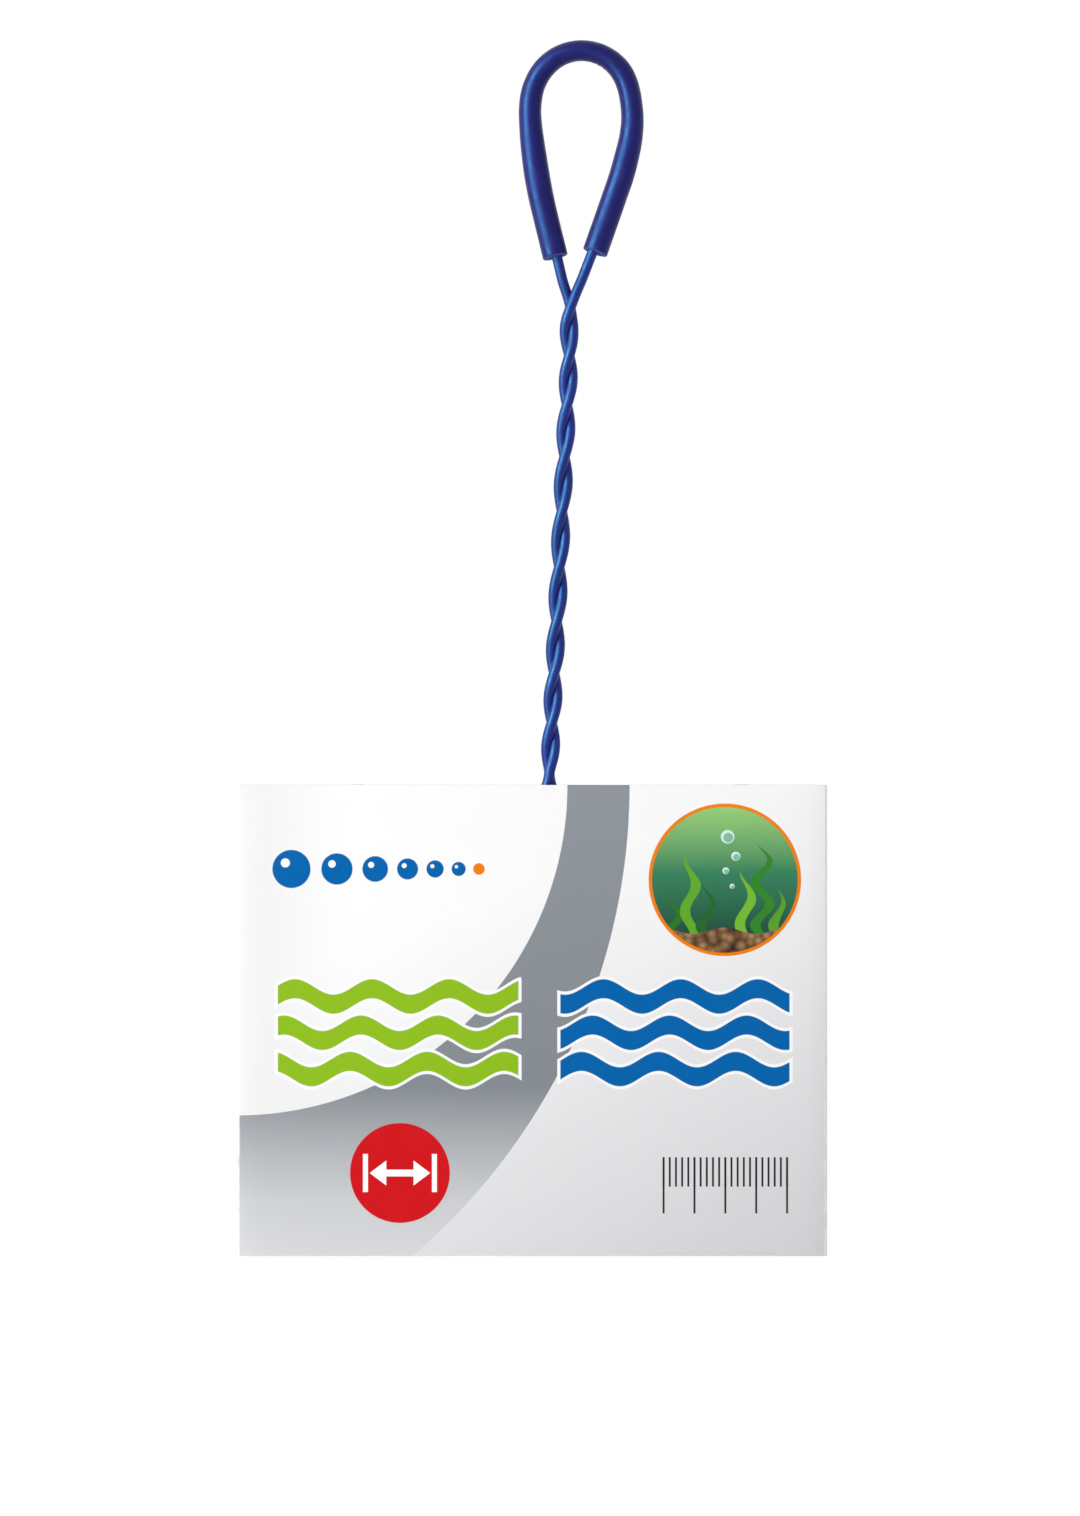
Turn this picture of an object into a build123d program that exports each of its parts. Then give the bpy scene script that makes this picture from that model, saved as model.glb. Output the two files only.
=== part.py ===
from build123d import *
import math
import os

# Aquarium hand net with a twisted wire handle, its head packed in a folded card sleeve.
# Millimetres and degrees, with X to the right, Y away from the viewer and Z up.
# The origin is the hang point: the inner crown of the grip loop, on the handle's axis.

# Coated wire
CORE_DIAMETER = 1.6
COAT_WALL = 0.3
WIRE_END_GAP = 1.0

# Grip loop, a vinyl tube bent to a teardrop over both ends of the wire
GRIP_BORE_PLAY = 0.65
GRIP_WALL = 0.95
GRIP_REST_GAP = 0.05
CROWN_RADIUS = 10.9
LIMB_START = 84.0
LIMB_RADIUS = 49.0
LIMB_CONVERGENCE = 16.5
LIMB_STRAIGHT = 16.8
COAT_JOIN_DEPTH = 5.0

# Twisted handle
HANDLE_LEAN = 2.75
STRAND_GAP = 0.06
HALF_TURNS = 9
HALF_TURN_LENGTH = 11.45
LEG_RUN = 1.5

# Hoop, measured over its coated wire
HOOP_WIDTH = 120.0
HOOP_HEIGHT = 97.0
HOOP_CORNER = 16.5
SHOULDER_RISE = 5.5
NECK_SPREAD = 12.0
NECK_DROP = 7.25

# Binding tape folded round the hoop, its two plies sewn together as a tail inside the hoop
BINDING_FIT_GAP = 0.05
BINDING_WALL = 0.45
BINDING_TAIL = 4.0
BINDING_TAIL_THICKNESS = 1.1
STITCH_DIAMETER = 0.5
STITCH_TO_TAIL_END = 2.4
STITCH_GAP = 0.03

# Net bag, laid flat behind the hoop, and the tapes over its two side seams
BAG_EDGE_GAP = 0.2
BAG_WALL = 0.6
BAG_DEPTH = 5.2
BAG_CORNER = 14.0
BAG_WAIST_INSET = 1.5
BAG_BACK_INSET = 6.0
BAG_BACK_ROUND = 2.4
SEAM_WIDTH = 2.0
SEAM_THICKNESS = 0.5
SEAM_GAP = 0.05
SEAM_MARGIN = 9.0
SEAM_SPLAY = 12.0
SEAM_RISE = 50.0
SEAM_RADIUS = 110.0

# Card sleeve, folded round the net head and glued along a lap at the back
CARD = 0.45
FOLD_INNER_RADIUS = 0.45
LAP_WIDTH = 18.0
GLUE_THICKNESS = 0.1
GLUE_MARGIN = 2.0
RIM_PEEK = 0.2
SLEEVE_FRONT_GAP = 0.45
SLEEVE_BACK_GAP = 0.35
SLEEVE_NEAR_SIDE_GAP = 0.2
SLEEVE_FAR_SIDE_GAP = 7.9
SLEEVE_SPARE_HEIGHT = 6.0

# Radii that follow from the wire outwards
core_radius = CORE_DIAMETER / 2
coat_radius = core_radius + COAT_WALL
grip_bore_radius = coat_radius + GRIP_BORE_PLAY
grip_radius = grip_bore_radius + GRIP_WALL
strand_radius = coat_radius + STRAND_GAP / 2
rim_bore_radius = coat_radius + BINDING_FIT_GAP
rim_radius = rim_bore_radius + BINDING_WALL

# Directions of the leaning handle
lean = math.radians(HANDLE_LEAN)
handle_up = Vector(math.sin(lean), 0, math.cos(lean))
handle_across = Vector(math.cos(lean), 0, -math.sin(lean))


def handle_point(across, depth, down):
    """Point given across the handle, in depth, and down its axis from the crown's middle."""
    return handle_across * across + Vector(0, depth, 0) + handle_up * (grip_radius - down)


def handle_heading(across, depth, down):
    """Unit vector given in the same three directions as a handle point."""
    return (handle_across * across + Vector(0, depth, 0) - handle_up * down).normalized()


def upright_plane(depth):
    """Plane parallel to the card, at a depth, drawn on in X and Z."""
    return Plane((0, depth, 0), x_dir=(1, 0, 0), z_dir=(0, -1, 0))


def arc(start, heading, end):
    """Arc that leaves start along heading and reaches end, or a line where end lies ahead."""
    if (end - start).normalized().cross(heading).length < 1e-6:
        return Edge.make_line(start, end)
    return Edge.make_tangent_arc(start, heading, end)


def biarc(start, heading, end, end_heading):
    """Two tangent arcs that leave start along heading and reach end along end_heading."""
    chord = end - start
    along = chord.dot(heading + end_heading)
    spread = 2 * (1 - heading.dot(end_heading))
    if spread < 1e-9:
        reach = chord.dot(chord) / (2 * along)
    else:
        reach = (math.sqrt(along**2 + spread * chord.dot(chord)) - along) / spread
    first = start + heading * reach
    last = end - end_heading * reach
    middle = (first + last) / 2
    return [arc(start, heading, middle), arc(middle, (last - first).normalized(), end)]


def tube(path, radius, bore_radius=0):
    """Round wire, or a tube where it has a bore, along a path."""
    section = Circle(radius)
    if bore_radius:
        section -= Circle(bore_radius)
    return sweep(Plane(origin=path @ 0, z_dir=path % 0) * section, path=path)


def ribbon(path, width, thickness):
    """Flat strip along a path in an upright plane, with its thickness in Y."""
    section = Plane(origin=path @ 0, x_dir=(0, 1, 0), z_dir=path % 0) * Rectangle(thickness, width)
    return sweep(section, path=path)


# Grip loop


def loop_place(turn):
    """Across and down of the teardrop's centre line where it has turned this far from the crown."""
    handover = math.radians(min(turn, LIMB_START))
    angle = math.radians(turn)
    across = CROWN_RADIUS * math.sin(handover)
    down = CROWN_RADIUS * (1 - math.cos(handover))
    if turn > LIMB_START:
        across += LIMB_RADIUS * (math.sin(angle) - math.sin(handover))
        down += LIMB_RADIUS * (math.cos(handover) - math.cos(angle))
    return across, down


def loop_point(side, turn):
    """Point of the teardrop's centre line on its right (1) or left (-1) side."""
    across, down = loop_place(turn)
    return handle_point(side * across, 0, down)


def loop_heading(side, turn):
    """Heading down the teardrop at that point."""
    angle = math.radians(turn)
    return handle_heading(side * math.cos(angle), 0, math.sin(angle))


def loop_arc(side, first_turn, last_turn):
    """Arc of one side of the teardrop, between two turns."""
    first = loop_point(side, first_turn)
    return arc(first, loop_heading(side, first_turn), loop_point(side, last_turn))


def limb_path(side, first_turn, last_turn, straight):
    """Crown arc, limb arc and straight end of one side of the teardrop."""
    tip = loop_point(side, last_turn)
    run = Edge.make_line(tip, tip + loop_heading(side, last_turn) * straight)
    return [loop_arc(side, first_turn, LIMB_START), loop_arc(side, LIMB_START, last_turn), run]


# The wire turns a little further than the tube, and so rests on the bore at the tube's mouth.
grip_turn = 90 + LIMB_CONVERGENCE
wire_turn = grip_turn + math.degrees(math.atan((GRIP_BORE_PLAY - GRIP_REST_GAP) / LIMB_STRAIGHT))
wire_end_turn = math.degrees(WIRE_END_GAP / 2 / CROWN_RADIUS)
wire_to_mouth = LIMB_STRAIGHT - LIMB_RADIUS * math.sin(math.radians(wire_turn - grip_turn))
wire_to_join = wire_to_mouth - COAT_JOIN_DEPTH


def grip_tube():
    """Vinyl tube from its left mouth over the crown to its right mouth."""
    path = Wire([edge for side in (-1, 1) for edge in limb_path(side, 0, grip_turn, LIMB_STRAIGHT)])
    return tube(path, grip_radius, grip_bore_radius)


def grip_wire_coating():
    """Coating of the two wire ends inside the grip."""
    paths = [Wire(limb_path(side, wire_end_turn, wire_turn, wire_to_join)) for side in (-1, 1)]
    return Compound([tube(path, coat_radius, core_radius).solid() for path in paths])


# Twisted handle: the legs run straight from the grip and first cross on the handle's axis.
leg_across, leg_down = loop_place(wire_turn)
twist_start = leg_down + leg_across / math.tan(math.radians(wire_turn - 90))
twist_end = twist_start + HALF_TURNS * HALF_TURN_LENGTH
neck = handle_point(0, 0, twist_end)


def strand_point(side, half_turns):
    """Point of one strand after so many half turns; the right strand first crosses in front."""
    angle = math.pi * half_turns
    across = -side * strand_radius * math.sin(angle)
    depth = -side * strand_radius * math.cos(angle)
    return handle_point(across, depth, twist_start + half_turns * HALF_TURN_LENGTH)


def strand_heading(side, half_turns):
    """Heading down one strand after so many half turns."""
    angle = math.pi * half_turns
    speed = side * strand_radius * math.pi / HALF_TURN_LENGTH
    return handle_heading(-speed * math.cos(angle), speed * math.sin(angle), 1)


def leg_path(side):
    """Leg of one strand, from the coating's join inside the grip to the first crossing."""
    heading = loop_heading(side, wire_turn)
    join = loop_point(side, wire_turn) + heading * wire_to_join
    bend = join + heading * (COAT_JOIN_DEPTH + LEG_RUN)
    crossing = biarc(bend, heading, strand_point(side, 0), strand_heading(side, 0))
    return [Edge.make_line(join, bend), *crossing]


def twist_path(side):
    """Quarter turns of one strand, from the first crossing to the last."""
    edges = []
    for quarter in range(2 * HALF_TURNS):
        start, end = quarter / 2, (quarter + 1) / 2
        edges += biarc(
            strand_point(side, start),
            strand_heading(side, start),
            strand_point(side, end),
            strand_heading(side, end),
        )
    return edges


def neck_path(side):
    """Bend of one strand from the last crossing to the shoulder of the hoop that it heads for."""
    shoulder_side = side if HALF_TURNS % 2 else -side
    shoulder = Vector(neck.X + shoulder_side * NECK_SPREAD, 0, shoulder_height(0, NECK_SPREAD))
    rise = math.radians(SHOULDER_RISE)
    heading = Vector(shoulder_side * math.cos(rise), 0, math.sin(rise))
    return biarc(strand_point(side, HALF_TURNS), strand_heading(side, HALF_TURNS), shoulder, heading)


def strand_path(side):
    """One strand from the coating's join inside the grip to the shoulder of the hoop."""
    return leg_path(side) + twist_path(side) + neck_path(side)


# Hoop, square to the card while the handle leans
hoop_half_width = HOOP_WIDTH / 2 - coat_radius
shoulder_cosine = math.cos(math.radians(SHOULDER_RISE))
shoulder_slope = math.tan(math.radians(SHOULDER_RISE))


def shoulder_height(inset, across):
    """Height of the shoulder line, set in from the wire, at a distance across from the neck."""
    start = neck.Z - NECK_DROP - inset / shoulder_cosine
    return start + (across - NECK_SPREAD) * shoulder_slope


hoop_top = shoulder_height(HOOP_CORNER, hoop_half_width - HOOP_CORNER) + HOOP_CORNER
hoop_bottom = hoop_top - (HOOP_HEIGHT - 2 * coat_radius)


def hoop_corners(inset):
    """Upper right, lower right, lower left and upper left corner of the outline set in by inset."""
    half = hoop_half_width - inset
    top = shoulder_height(inset, half)
    bottom = hoop_bottom + inset
    return [(neck.X + x, z) for x, z in ((half, top), (half, bottom), (-half, bottom), (-half, top))]


def hoop_path(inset, depth):
    """Open path round the hoop from the right shoulder to the left one, at a depth."""
    across = NECK_SPREAD + inset * shoulder_cosine * shoulder_slope
    height = shoulder_height(inset, across)
    points = [(neck.X + across, height), *hoop_corners(inset), (neck.X - across, height)]
    return upright_plane(depth) * FilletPolyline(*points, radius=HOOP_CORNER - inset)


def wire_path():
    """Whole wire, from its left end under the crown, round the hoop, to its right end."""
    edges = list(hoop_path(0, 0).edges())
    for side in (-1, 1):
        edges += limb_path(side, wire_end_turn, wire_turn, wire_to_join)
        edges += strand_path(side)
    return Wire(edges)


def frame_wire():
    """Steel core of the wire."""
    return tube(wire_path(), core_radius)


def strand_coating(side):
    """Coating of one strand, from inside the grip to the shoulder of the hoop."""
    return tube(Wire(strand_path(side)), coat_radius, core_radius)


def hoop_coating():
    """Coating of the hoop, from shoulder to shoulder."""
    return tube(hoop_path(0, 0), coat_radius, core_radius)


# Binding and its seam
tail_inset = rim_radius + BINDING_TAIL


def rim_binding():
    """Binding tape round the hoop, with its sewn tail towards the middle of the hoop."""
    path = hoop_path(0, 0)
    tail = Pos(tail_inset / 2, 0) * Rectangle(tail_inset, BINDING_TAIL_THICKNESS)
    section = Circle(rim_radius) + tail - Circle(rim_bore_radius)
    inward = Vector(0, 1, 0).cross(path % 0)
    return sweep(Plane(origin=path @ 0, x_dir=inward, z_dir=path % 0) * section, path=path)


def binding_stitching():
    """Front and back thread of the seam through the binding's tail."""
    depth = BINDING_TAIL_THICKNESS / 2 + STITCH_GAP + STITCH_DIAMETER / 2
    paths = [hoop_path(tail_inset - STITCH_TO_TAIL_END, side * depth) for side in (-1, 1)]
    return Compound([tube(path, STITCH_DIAMETER / 2).solid() for path in paths])


# Net bag
bag_inset = tail_inset + BAG_EDGE_GAP
bag_front = -BAG_WALL / 2
seam_depth = BAG_DEPTH + SEAM_GAP + SEAM_THICKNESS / 2


def bag_outline(inset, corner, depth):
    """Closed outline of the bag, set in from the wire, as a face at a depth."""
    points = [(neck.X, shoulder_height(inset, 0)), *hoop_corners(inset)]
    neck_radius = NECK_SPREAD / shoulder_slope / 2
    outline = FilletPolyline(*points, radius=[neck_radius] + [corner] * 4, close=True)
    return upright_plane(depth) * make_face(outline)


def pouch(wall, back):
    """Solid of the pouch inside a wall, from its mouth through its waist to its back."""
    edge = bag_inset + wall
    mouth = bag_outline(edge, HOOP_CORNER - edge, bag_front)
    waist = bag_outline(edge + BAG_WAIST_INSET, BAG_CORNER, back - BAG_BACK_ROUND)
    return loft([mouth, waist, bag_outline(edge + BAG_BACK_INSET, BAG_CORNER, back)], ruled=True)


def net_bag():
    """Net bag, an open pouch whose mouth lies inside the binding's tail."""
    return pouch(0, BAG_DEPTH) - pouch(BAG_WALL, BAG_DEPTH - BAG_WALL)


def bag_seam(side):
    """Tape over one side seam, bowed a little, on the back of the bag."""
    margin = bag_inset + BAG_BACK_INSET + SEAM_MARGIN
    head_across = side * (hoop_half_width - margin)
    foot = (neck.X + head_across - side * SEAM_SPLAY, hoop_bottom + margin)
    head = (neck.X + head_across, hoop_bottom + margin + SEAM_RISE)
    path = upright_plane(seam_depth) * RadiusArc(foot, head, -side * SEAM_RADIUS)
    return ribbon(path, SEAM_WIDTH, SEAM_THICKNESS)


# Card sleeve: its faces stand off from the net head by their gaps.
rim_half_width = hoop_half_width + rim_radius
sleeve_right = neck.X + rim_half_width + SLEEVE_NEAR_SIDE_GAP + CARD
sleeve_left = neck.X - rim_half_width - SLEEVE_FAR_SIDE_GAP - CARD
sleeve_top = hoop_top + rim_radius - RIM_PEEK
sleeve_bottom = hoop_bottom - rim_radius - SLEEVE_SPARE_HEIGHT
sleeve_height = sleeve_top - sleeve_bottom
sleeve_centre = Vector((sleeve_left + sleeve_right) / 2, 0, (sleeve_top + sleeve_bottom) / 2)

# Depths of the middle of the card in its panels
front_panel = -strand_radius - coat_radius - SLEEVE_FRONT_GAP - CARD / 2
inner_back_panel = seam_depth + SEAM_THICKNESS / 2 + SLEEVE_BACK_GAP + CARD / 2
outer_back_panel = inner_back_panel + CARD + GLUE_THICKNESS


def card_sleeve():
    """Card blank folded round the net head, from its inner lap edge to its outer lap edge."""
    right = sleeve_right - CARD / 2
    left = sleeve_left + CARD / 2
    outline = FilletPolyline(
        (sleeve_centre.X - LAP_WIDTH / 2, inner_back_panel),
        (right, inner_back_panel),
        (right, front_panel),
        (left, front_panel),
        (left, outer_back_panel),
        (sleeve_centre.X + LAP_WIDTH / 2, outer_back_panel),
        radius=FOLD_INNER_RADIUS + CARD / 2,
    )
    path = Pos(0, 0, sleeve_centre.Z) * outline
    section = Plane(origin=path @ 0, x_dir=(0, 1, 0), z_dir=path % 0) * Rectangle(CARD, sleeve_height)
    return sweep(section, path=path)


def seam_glue():
    """Film of glue between the two layers of the lap."""
    film = Box(LAP_WIDTH - 2 * GLUE_MARGIN, GLUE_THICKNESS, sleeve_height - 2 * GLUE_MARGIN)
    return Pos(sleeve_centre.X, (inner_back_panel + outer_back_panel) / 2, sleeve_centre.Z) * film


def least_wire_gap():
    """Least gap between the wire's two strands, measured on points along them."""
    strands = [[edge @ (k / 4) for edge in strand_path(side) for k in range(5)] for side in (-1, 1)]
    return min((a - b).length for a in strands[0] for b in strands[1]) - CORE_DIAMETER


parts = {
    "frame_wire": frame_wire(),
    "left_strand_coating": strand_coating(-1),
    "right_strand_coating": strand_coating(1),
    "hoop_coating": hoop_coating(),
    "grip_wire_coating": grip_wire_coating(),
    "grip_tube": grip_tube(),
    "rim_binding": rim_binding(),
    "binding_stitching": binding_stitching(),
    "net_bag": net_bag(),
    "left_bag_seam": bag_seam(-1),
    "right_bag_seam": bag_seam(1),
    "card_sleeve": card_sleeve(),
    "seam_glue": seam_glue(),
}

os.makedirs("parts", exist_ok=True)
for name, shape in parts.items():
    export_step(shape, f"parts/{name}.step")

swept_length = parts["frame_wire"].volume / (math.pi * core_radius**2)
print(f"wire length {wire_path().length:.2f}, and {swept_length:.2f} from its volume and section")
print(f"least gap of the wire to itself {least_wire_gap():.2f}")
print(f"sleeve {sleeve_left:.2f} to {sleeve_right:.2f} in X, {sleeve_bottom:.2f} to {sleeve_top:.2f} in Z")
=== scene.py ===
"""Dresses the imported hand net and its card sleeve: meshes, finishes, studio and camera."""

import logging
import math
from dataclasses import asdict, dataclass
from enum import Enum
from functools import partial, reduce
from typing import Iterable, Sequence, Union

import bmesh
import bpy
from mathutils import Matrix, Vector, noise
from mathutils.bvhtree import BVHTree
from mathutils.geometry import interpolate_bezier


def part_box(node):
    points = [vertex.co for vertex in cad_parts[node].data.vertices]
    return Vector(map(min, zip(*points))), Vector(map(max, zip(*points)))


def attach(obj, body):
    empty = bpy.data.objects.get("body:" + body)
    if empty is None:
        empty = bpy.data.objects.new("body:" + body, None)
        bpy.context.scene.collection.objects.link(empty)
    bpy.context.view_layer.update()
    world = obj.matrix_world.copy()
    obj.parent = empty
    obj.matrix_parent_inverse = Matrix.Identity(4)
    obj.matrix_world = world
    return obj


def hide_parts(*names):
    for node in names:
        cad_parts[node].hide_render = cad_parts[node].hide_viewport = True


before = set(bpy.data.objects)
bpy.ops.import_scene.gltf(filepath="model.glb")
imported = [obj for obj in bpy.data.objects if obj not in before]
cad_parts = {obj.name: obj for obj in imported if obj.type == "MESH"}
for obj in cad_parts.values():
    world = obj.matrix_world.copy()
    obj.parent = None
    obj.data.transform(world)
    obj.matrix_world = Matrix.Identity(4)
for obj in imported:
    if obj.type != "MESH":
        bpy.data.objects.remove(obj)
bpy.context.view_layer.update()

MM = 0.001
TINY = 1e-9

log = logging.getLogger("hand_net")

Triple = tuple[float, float, float]
Colour = Triple
Span = tuple[float, float]
Material = bpy.types.Material
Piece = bpy.types.Object
BMesh = bmesh.types.BMesh
Edges = list[bmesh.types.BMEdge]
Socket = bpy.types.NodeSocket
Input = Union[float, Colour, Vector, Socket]


class Body(Enum):
    """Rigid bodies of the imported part."""

    NET = "net"
    SLEEVE = "sleeve"


class Slot(Enum):
    """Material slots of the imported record."""

    WIRE_CORE = "wire_core"
    WIRE_COATING = "wire_coating"
    GRIP_VINYL = "grip_vinyl"
    BINDING_TAPE = "binding_tape"
    SEWING_THREAD = "sewing_thread"
    NET_MESH = "net_mesh"
    PRINTED_CARD = "printed_card"


class CardSide(Enum):
    """Surfaces of the sleeve's card, in the order of its materials."""

    FRONT = 0
    BACK = 1
    INSIDE = 2
    EDGE = 3


class Side(Enum):
    """Left or right of the handle, as the sign of X."""

    LEFT = -1
    RIGHT = 1


def ink(red: int, green: int, blue: int) -> Colour:
    """Gives the linear colour of three display values from 0 to 255."""
    display = [value / 255 for value in (red, green, blue)]
    return tuple(v / 12.92 if v <= 0.04045 else ((v + 0.055) / 1.055) ** 2.4 for v in display)


def ease(low: float, high: float, value: float) -> float:
    """Rises smoothly from 0 at low to 1 at high."""
    share = min(max((value - low) / (high - low), 0.0), 1.0)
    return share * share * (3 - 2 * share)


def seen_rays(tree: bpy.types.NodeTree) -> Socket:
    """Joins the rays that see a surface: straight from the camera, mirrored or through glass.

    Args:
        tree: Node tree of a material or of the world.

    Returns:
        Value of 1 for those rays, and 0 for the rays that carry light.
    """
    rays = tree.nodes.new("ShaderNodeLightPath")
    seen = rays.outputs["Is Camera Ray"]
    for kind in ("Is Glossy Ray", "Is Transmission Ray"):
        join = tree.nodes.new("ShaderNodeMath")
        join.operation = "MAXIMUM"
        tree.links.new(seen, join.inputs[0])
        tree.links.new(rays.outputs[kind], join.inputs[1])
        seen = join.outputs[0]
    return seen


class ShaderGraph:
    """Node tree of one material, built round its Principled shader."""

    def __init__(self, name: str) -> None:
        """Starts a material.

        Args:
            name: Name of the material.
        """
        self.material = bpy.data.materials.new(name)
        self.material.use_nodes = True
        self.tree = self.material.node_tree
        self.shader = self.tree.nodes["Principled BSDF"]

    def node(self, kind: str, **settings: object) -> bpy.types.Node:
        """Adds a node.

        Args:
            kind: Blender's type name, without its ShaderNode prefix.
            settings: Properties of the node.

        Returns:
            The new node.
        """
        made = self.tree.nodes.new("ShaderNode" + kind)
        for key, value in settings.items():
            setattr(made, key, value)
        return made

    def feed(self, socket: Socket, value: Input) -> None:
        """Links a socket to another, or sets it.

        Args:
            socket: Input socket to fill.
            value: Output socket, number, colour or vector.
        """
        if isinstance(value, Socket):
            self.tree.links.new(value, socket)
        elif socket.type == "RGBA":
            socket.default_value = (*value, 1.0)
        else:
            socket.default_value = value

    def fill(self, node: bpy.types.Node, values: Iterable[Input]) -> None:
        """Feeds the inputs of a node in their order."""
        for socket, value in zip(node.inputs, values):
            self.feed(socket, value)

    def dress(self, **inputs: Input) -> None:
        """Fills inputs of the Principled shader, named with underscores for spaces."""
        for key, value in inputs.items():
            self.feed(self.shader.inputs[key.replace("_", " ")], value)

    def place(self, scale: Triple = (1.0, 1.0, 1.0)) -> Socket:
        """Gives the Object coordinates.

        Args:
            scale: Stretch of the coordinates along each axis.

        Returns:
            Vector socket.
        """
        coordinates = self.node("TexCoord").outputs["Object"]
        if scale == (1.0, 1.0, 1.0):
            return coordinates
        return self.vector("MULTIPLY", coordinates, Vector(scale))

    def split(self, vector: Socket) -> list[Socket]:
        """Gives the X, Y and Z of a vector."""
        parts = self.node("SeparateXYZ")
        self.fill(parts, (vector,))
        return list(parts.outputs)

    def math(self, operation: str, *inputs: Input, clamp: bool = False) -> Socket:
        """Adds a Math node and gives its value."""
        made = self.node("Math", operation=operation, use_clamp=clamp)
        self.fill(made, inputs)
        return made.outputs[0]

    def vector(self, operation: str, *inputs: Input) -> Socket:
        """Adds a Vector Math node and gives its vector, or its value where it makes one."""
        made = self.node("VectorMath", operation=operation)
        self.fill(made, inputs)
        return made.outputs["Value" if operation in ("DISTANCE", "LENGTH") else "Vector"]

    def noise(self, place: Socket, scale: float, detail: float = 2.0) -> Socket:
        """Adds a Noise texture.

        Args:
            place: Coordinates it is read at.
            scale: Number of blots to the metre.
            detail: Octaves of finer noise.

        Returns:
            Its factor, near 0.5 on average.
        """
        made = self.node("TexNoise")
        for key, value in (("Vector", place), ("Scale", scale), ("Detail", detail)):
            self.feed(made.inputs[key], value)
        return made.outputs["Fac"]

    def spread(self, value: Input, start: Span, end: Span = (0.0, 1.0)) -> Socket:
        """Maps a value smoothly from one range to another, and holds it past the ends.

        Args:
            value: Value that is mapped.
            start: Range that it comes from.
            end: Results at the two ends of that range.

        Returns:
            The mapped value.
        """
        made = self.node("MapRange", interpolation_type="SMOOTHSTEP")
        self.fill(made, (value, *start, *end))
        return made.outputs[0]

    def blend(self, factor: Input, first: Input, second: Input) -> Socket:
        """Mixes two colours by a factor."""
        made = self.node("Mix", data_type="RGBA")
        for index, value in ((0, factor), (6, first), (7, second)):
            self.feed(made.inputs[index], value)
        return made.outputs[2]

    def gradient(self, value: Input, *stops: tuple[float, Colour]) -> Socket:
        """Colours a value by a ramp.

        Args:
            value: Value from 0 to 1.
            stops: Place and colour of each stop, in order.

        Returns:
            Colour socket.
        """
        ramp = self.node("ValToRGB")
        elements = ramp.color_ramp.elements
        while len(elements) < len(stops):
            elements.new(0.5)
        for element, (place, colour) in zip(elements, stops):
            element.position = place
            element.color = (*colour, 1.0)
        self.fill(ramp, (value,))
        return ramp.outputs[0]

    def emboss(self, height: Socket, strength: float, distance: float) -> None:
        """Raises the surface by a height through a Bump node.

        Args:
            height: Height socket, about 0 to 1.
            strength: Share of the bump.
            distance: Height in metres of a full step.
        """
        bump = self.node("Bump")
        for key, value in (("Height", height), ("Strength", strength), ("Distance", distance)):
            self.feed(bump.inputs[key], value)
        self.dress(Normal=bump.outputs[0])


@dataclass(frozen=True)
class VinylFinish:
    """Blue vinyl with a slight drift of colour, an orange-peel skin and handling marks."""

    name: str
    colour: Colour
    drift_colour: Colour
    roughness: float
    specular: float
    sheen_tint: Colour = (0.25, 0.75, 1.0)
    ior: float = 1.6
    drift_scale: float = 90.0
    drift_range: Span = (0.3, 0.7)
    peel_scale: float = 1500.0
    peel_height: float = 0.03 * MM
    mark_scale: float = 420.0
    mark_range: Span = (0.35, 0.65)
    mark_spread: float = 0.08

    def make(self) -> Material:
        """Builds the material."""
        graph = ShaderGraph(self.name)
        place = graph.place()
        drift = graph.spread(graph.noise(place, self.drift_scale, detail=3.0), self.drift_range)
        marks = graph.noise(place, self.mark_scale, detail=4.0)
        dullness = (self.roughness - self.mark_spread, self.roughness + self.mark_spread)
        graph.dress(
            Base_Color=graph.blend(drift, self.colour, self.drift_colour),
            Roughness=graph.spread(marks, self.mark_range, dullness),
            IOR=self.ior,
            Specular_IOR_Level=self.specular,
            Specular_Tint=self.sheen_tint,
        )
        graph.emboss(graph.noise(place, self.peel_scale), strength=0.15, distance=self.peel_height)
        return graph.material


@dataclass(frozen=True)
class DrawnSteelFinish:
    """Bright drawn steel wire with fine lengthwise lines."""

    name: str = "drawn_steel"
    colour: Colour = ink(176, 178, 182)
    stain: Colour = ink(120, 118, 116)
    stain_scale: float = 160.0
    stain_range: Span = (0.45, 0.75)
    stain_cover: Span = (0.0, 0.7)
    line_stretch: Triple = (1.0, 1.0, 0.06)
    line_scale: float = 3200.0
    line_range: Span = (0.3, 0.7)
    line_depth: float = 0.01 * MM
    roughness: Span = (0.25, 0.42)

    def make(self) -> Material:
        """Builds the material."""
        graph = ShaderGraph(self.name)
        lines = graph.noise(graph.place(self.line_stretch), self.line_scale, detail=3.0)
        stains = graph.noise(graph.place(), self.stain_scale, detail=4.0)
        cover = graph.spread(stains, self.stain_range, self.stain_cover)
        graph.dress(
            Base_Color=graph.blend(cover, self.colour, self.stain),
            Metallic=1.0,
            Roughness=graph.spread(lines, self.line_range, self.roughness),
        )
        graph.emboss(lines, strength=0.3, distance=self.line_depth)
        return graph.material


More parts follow.
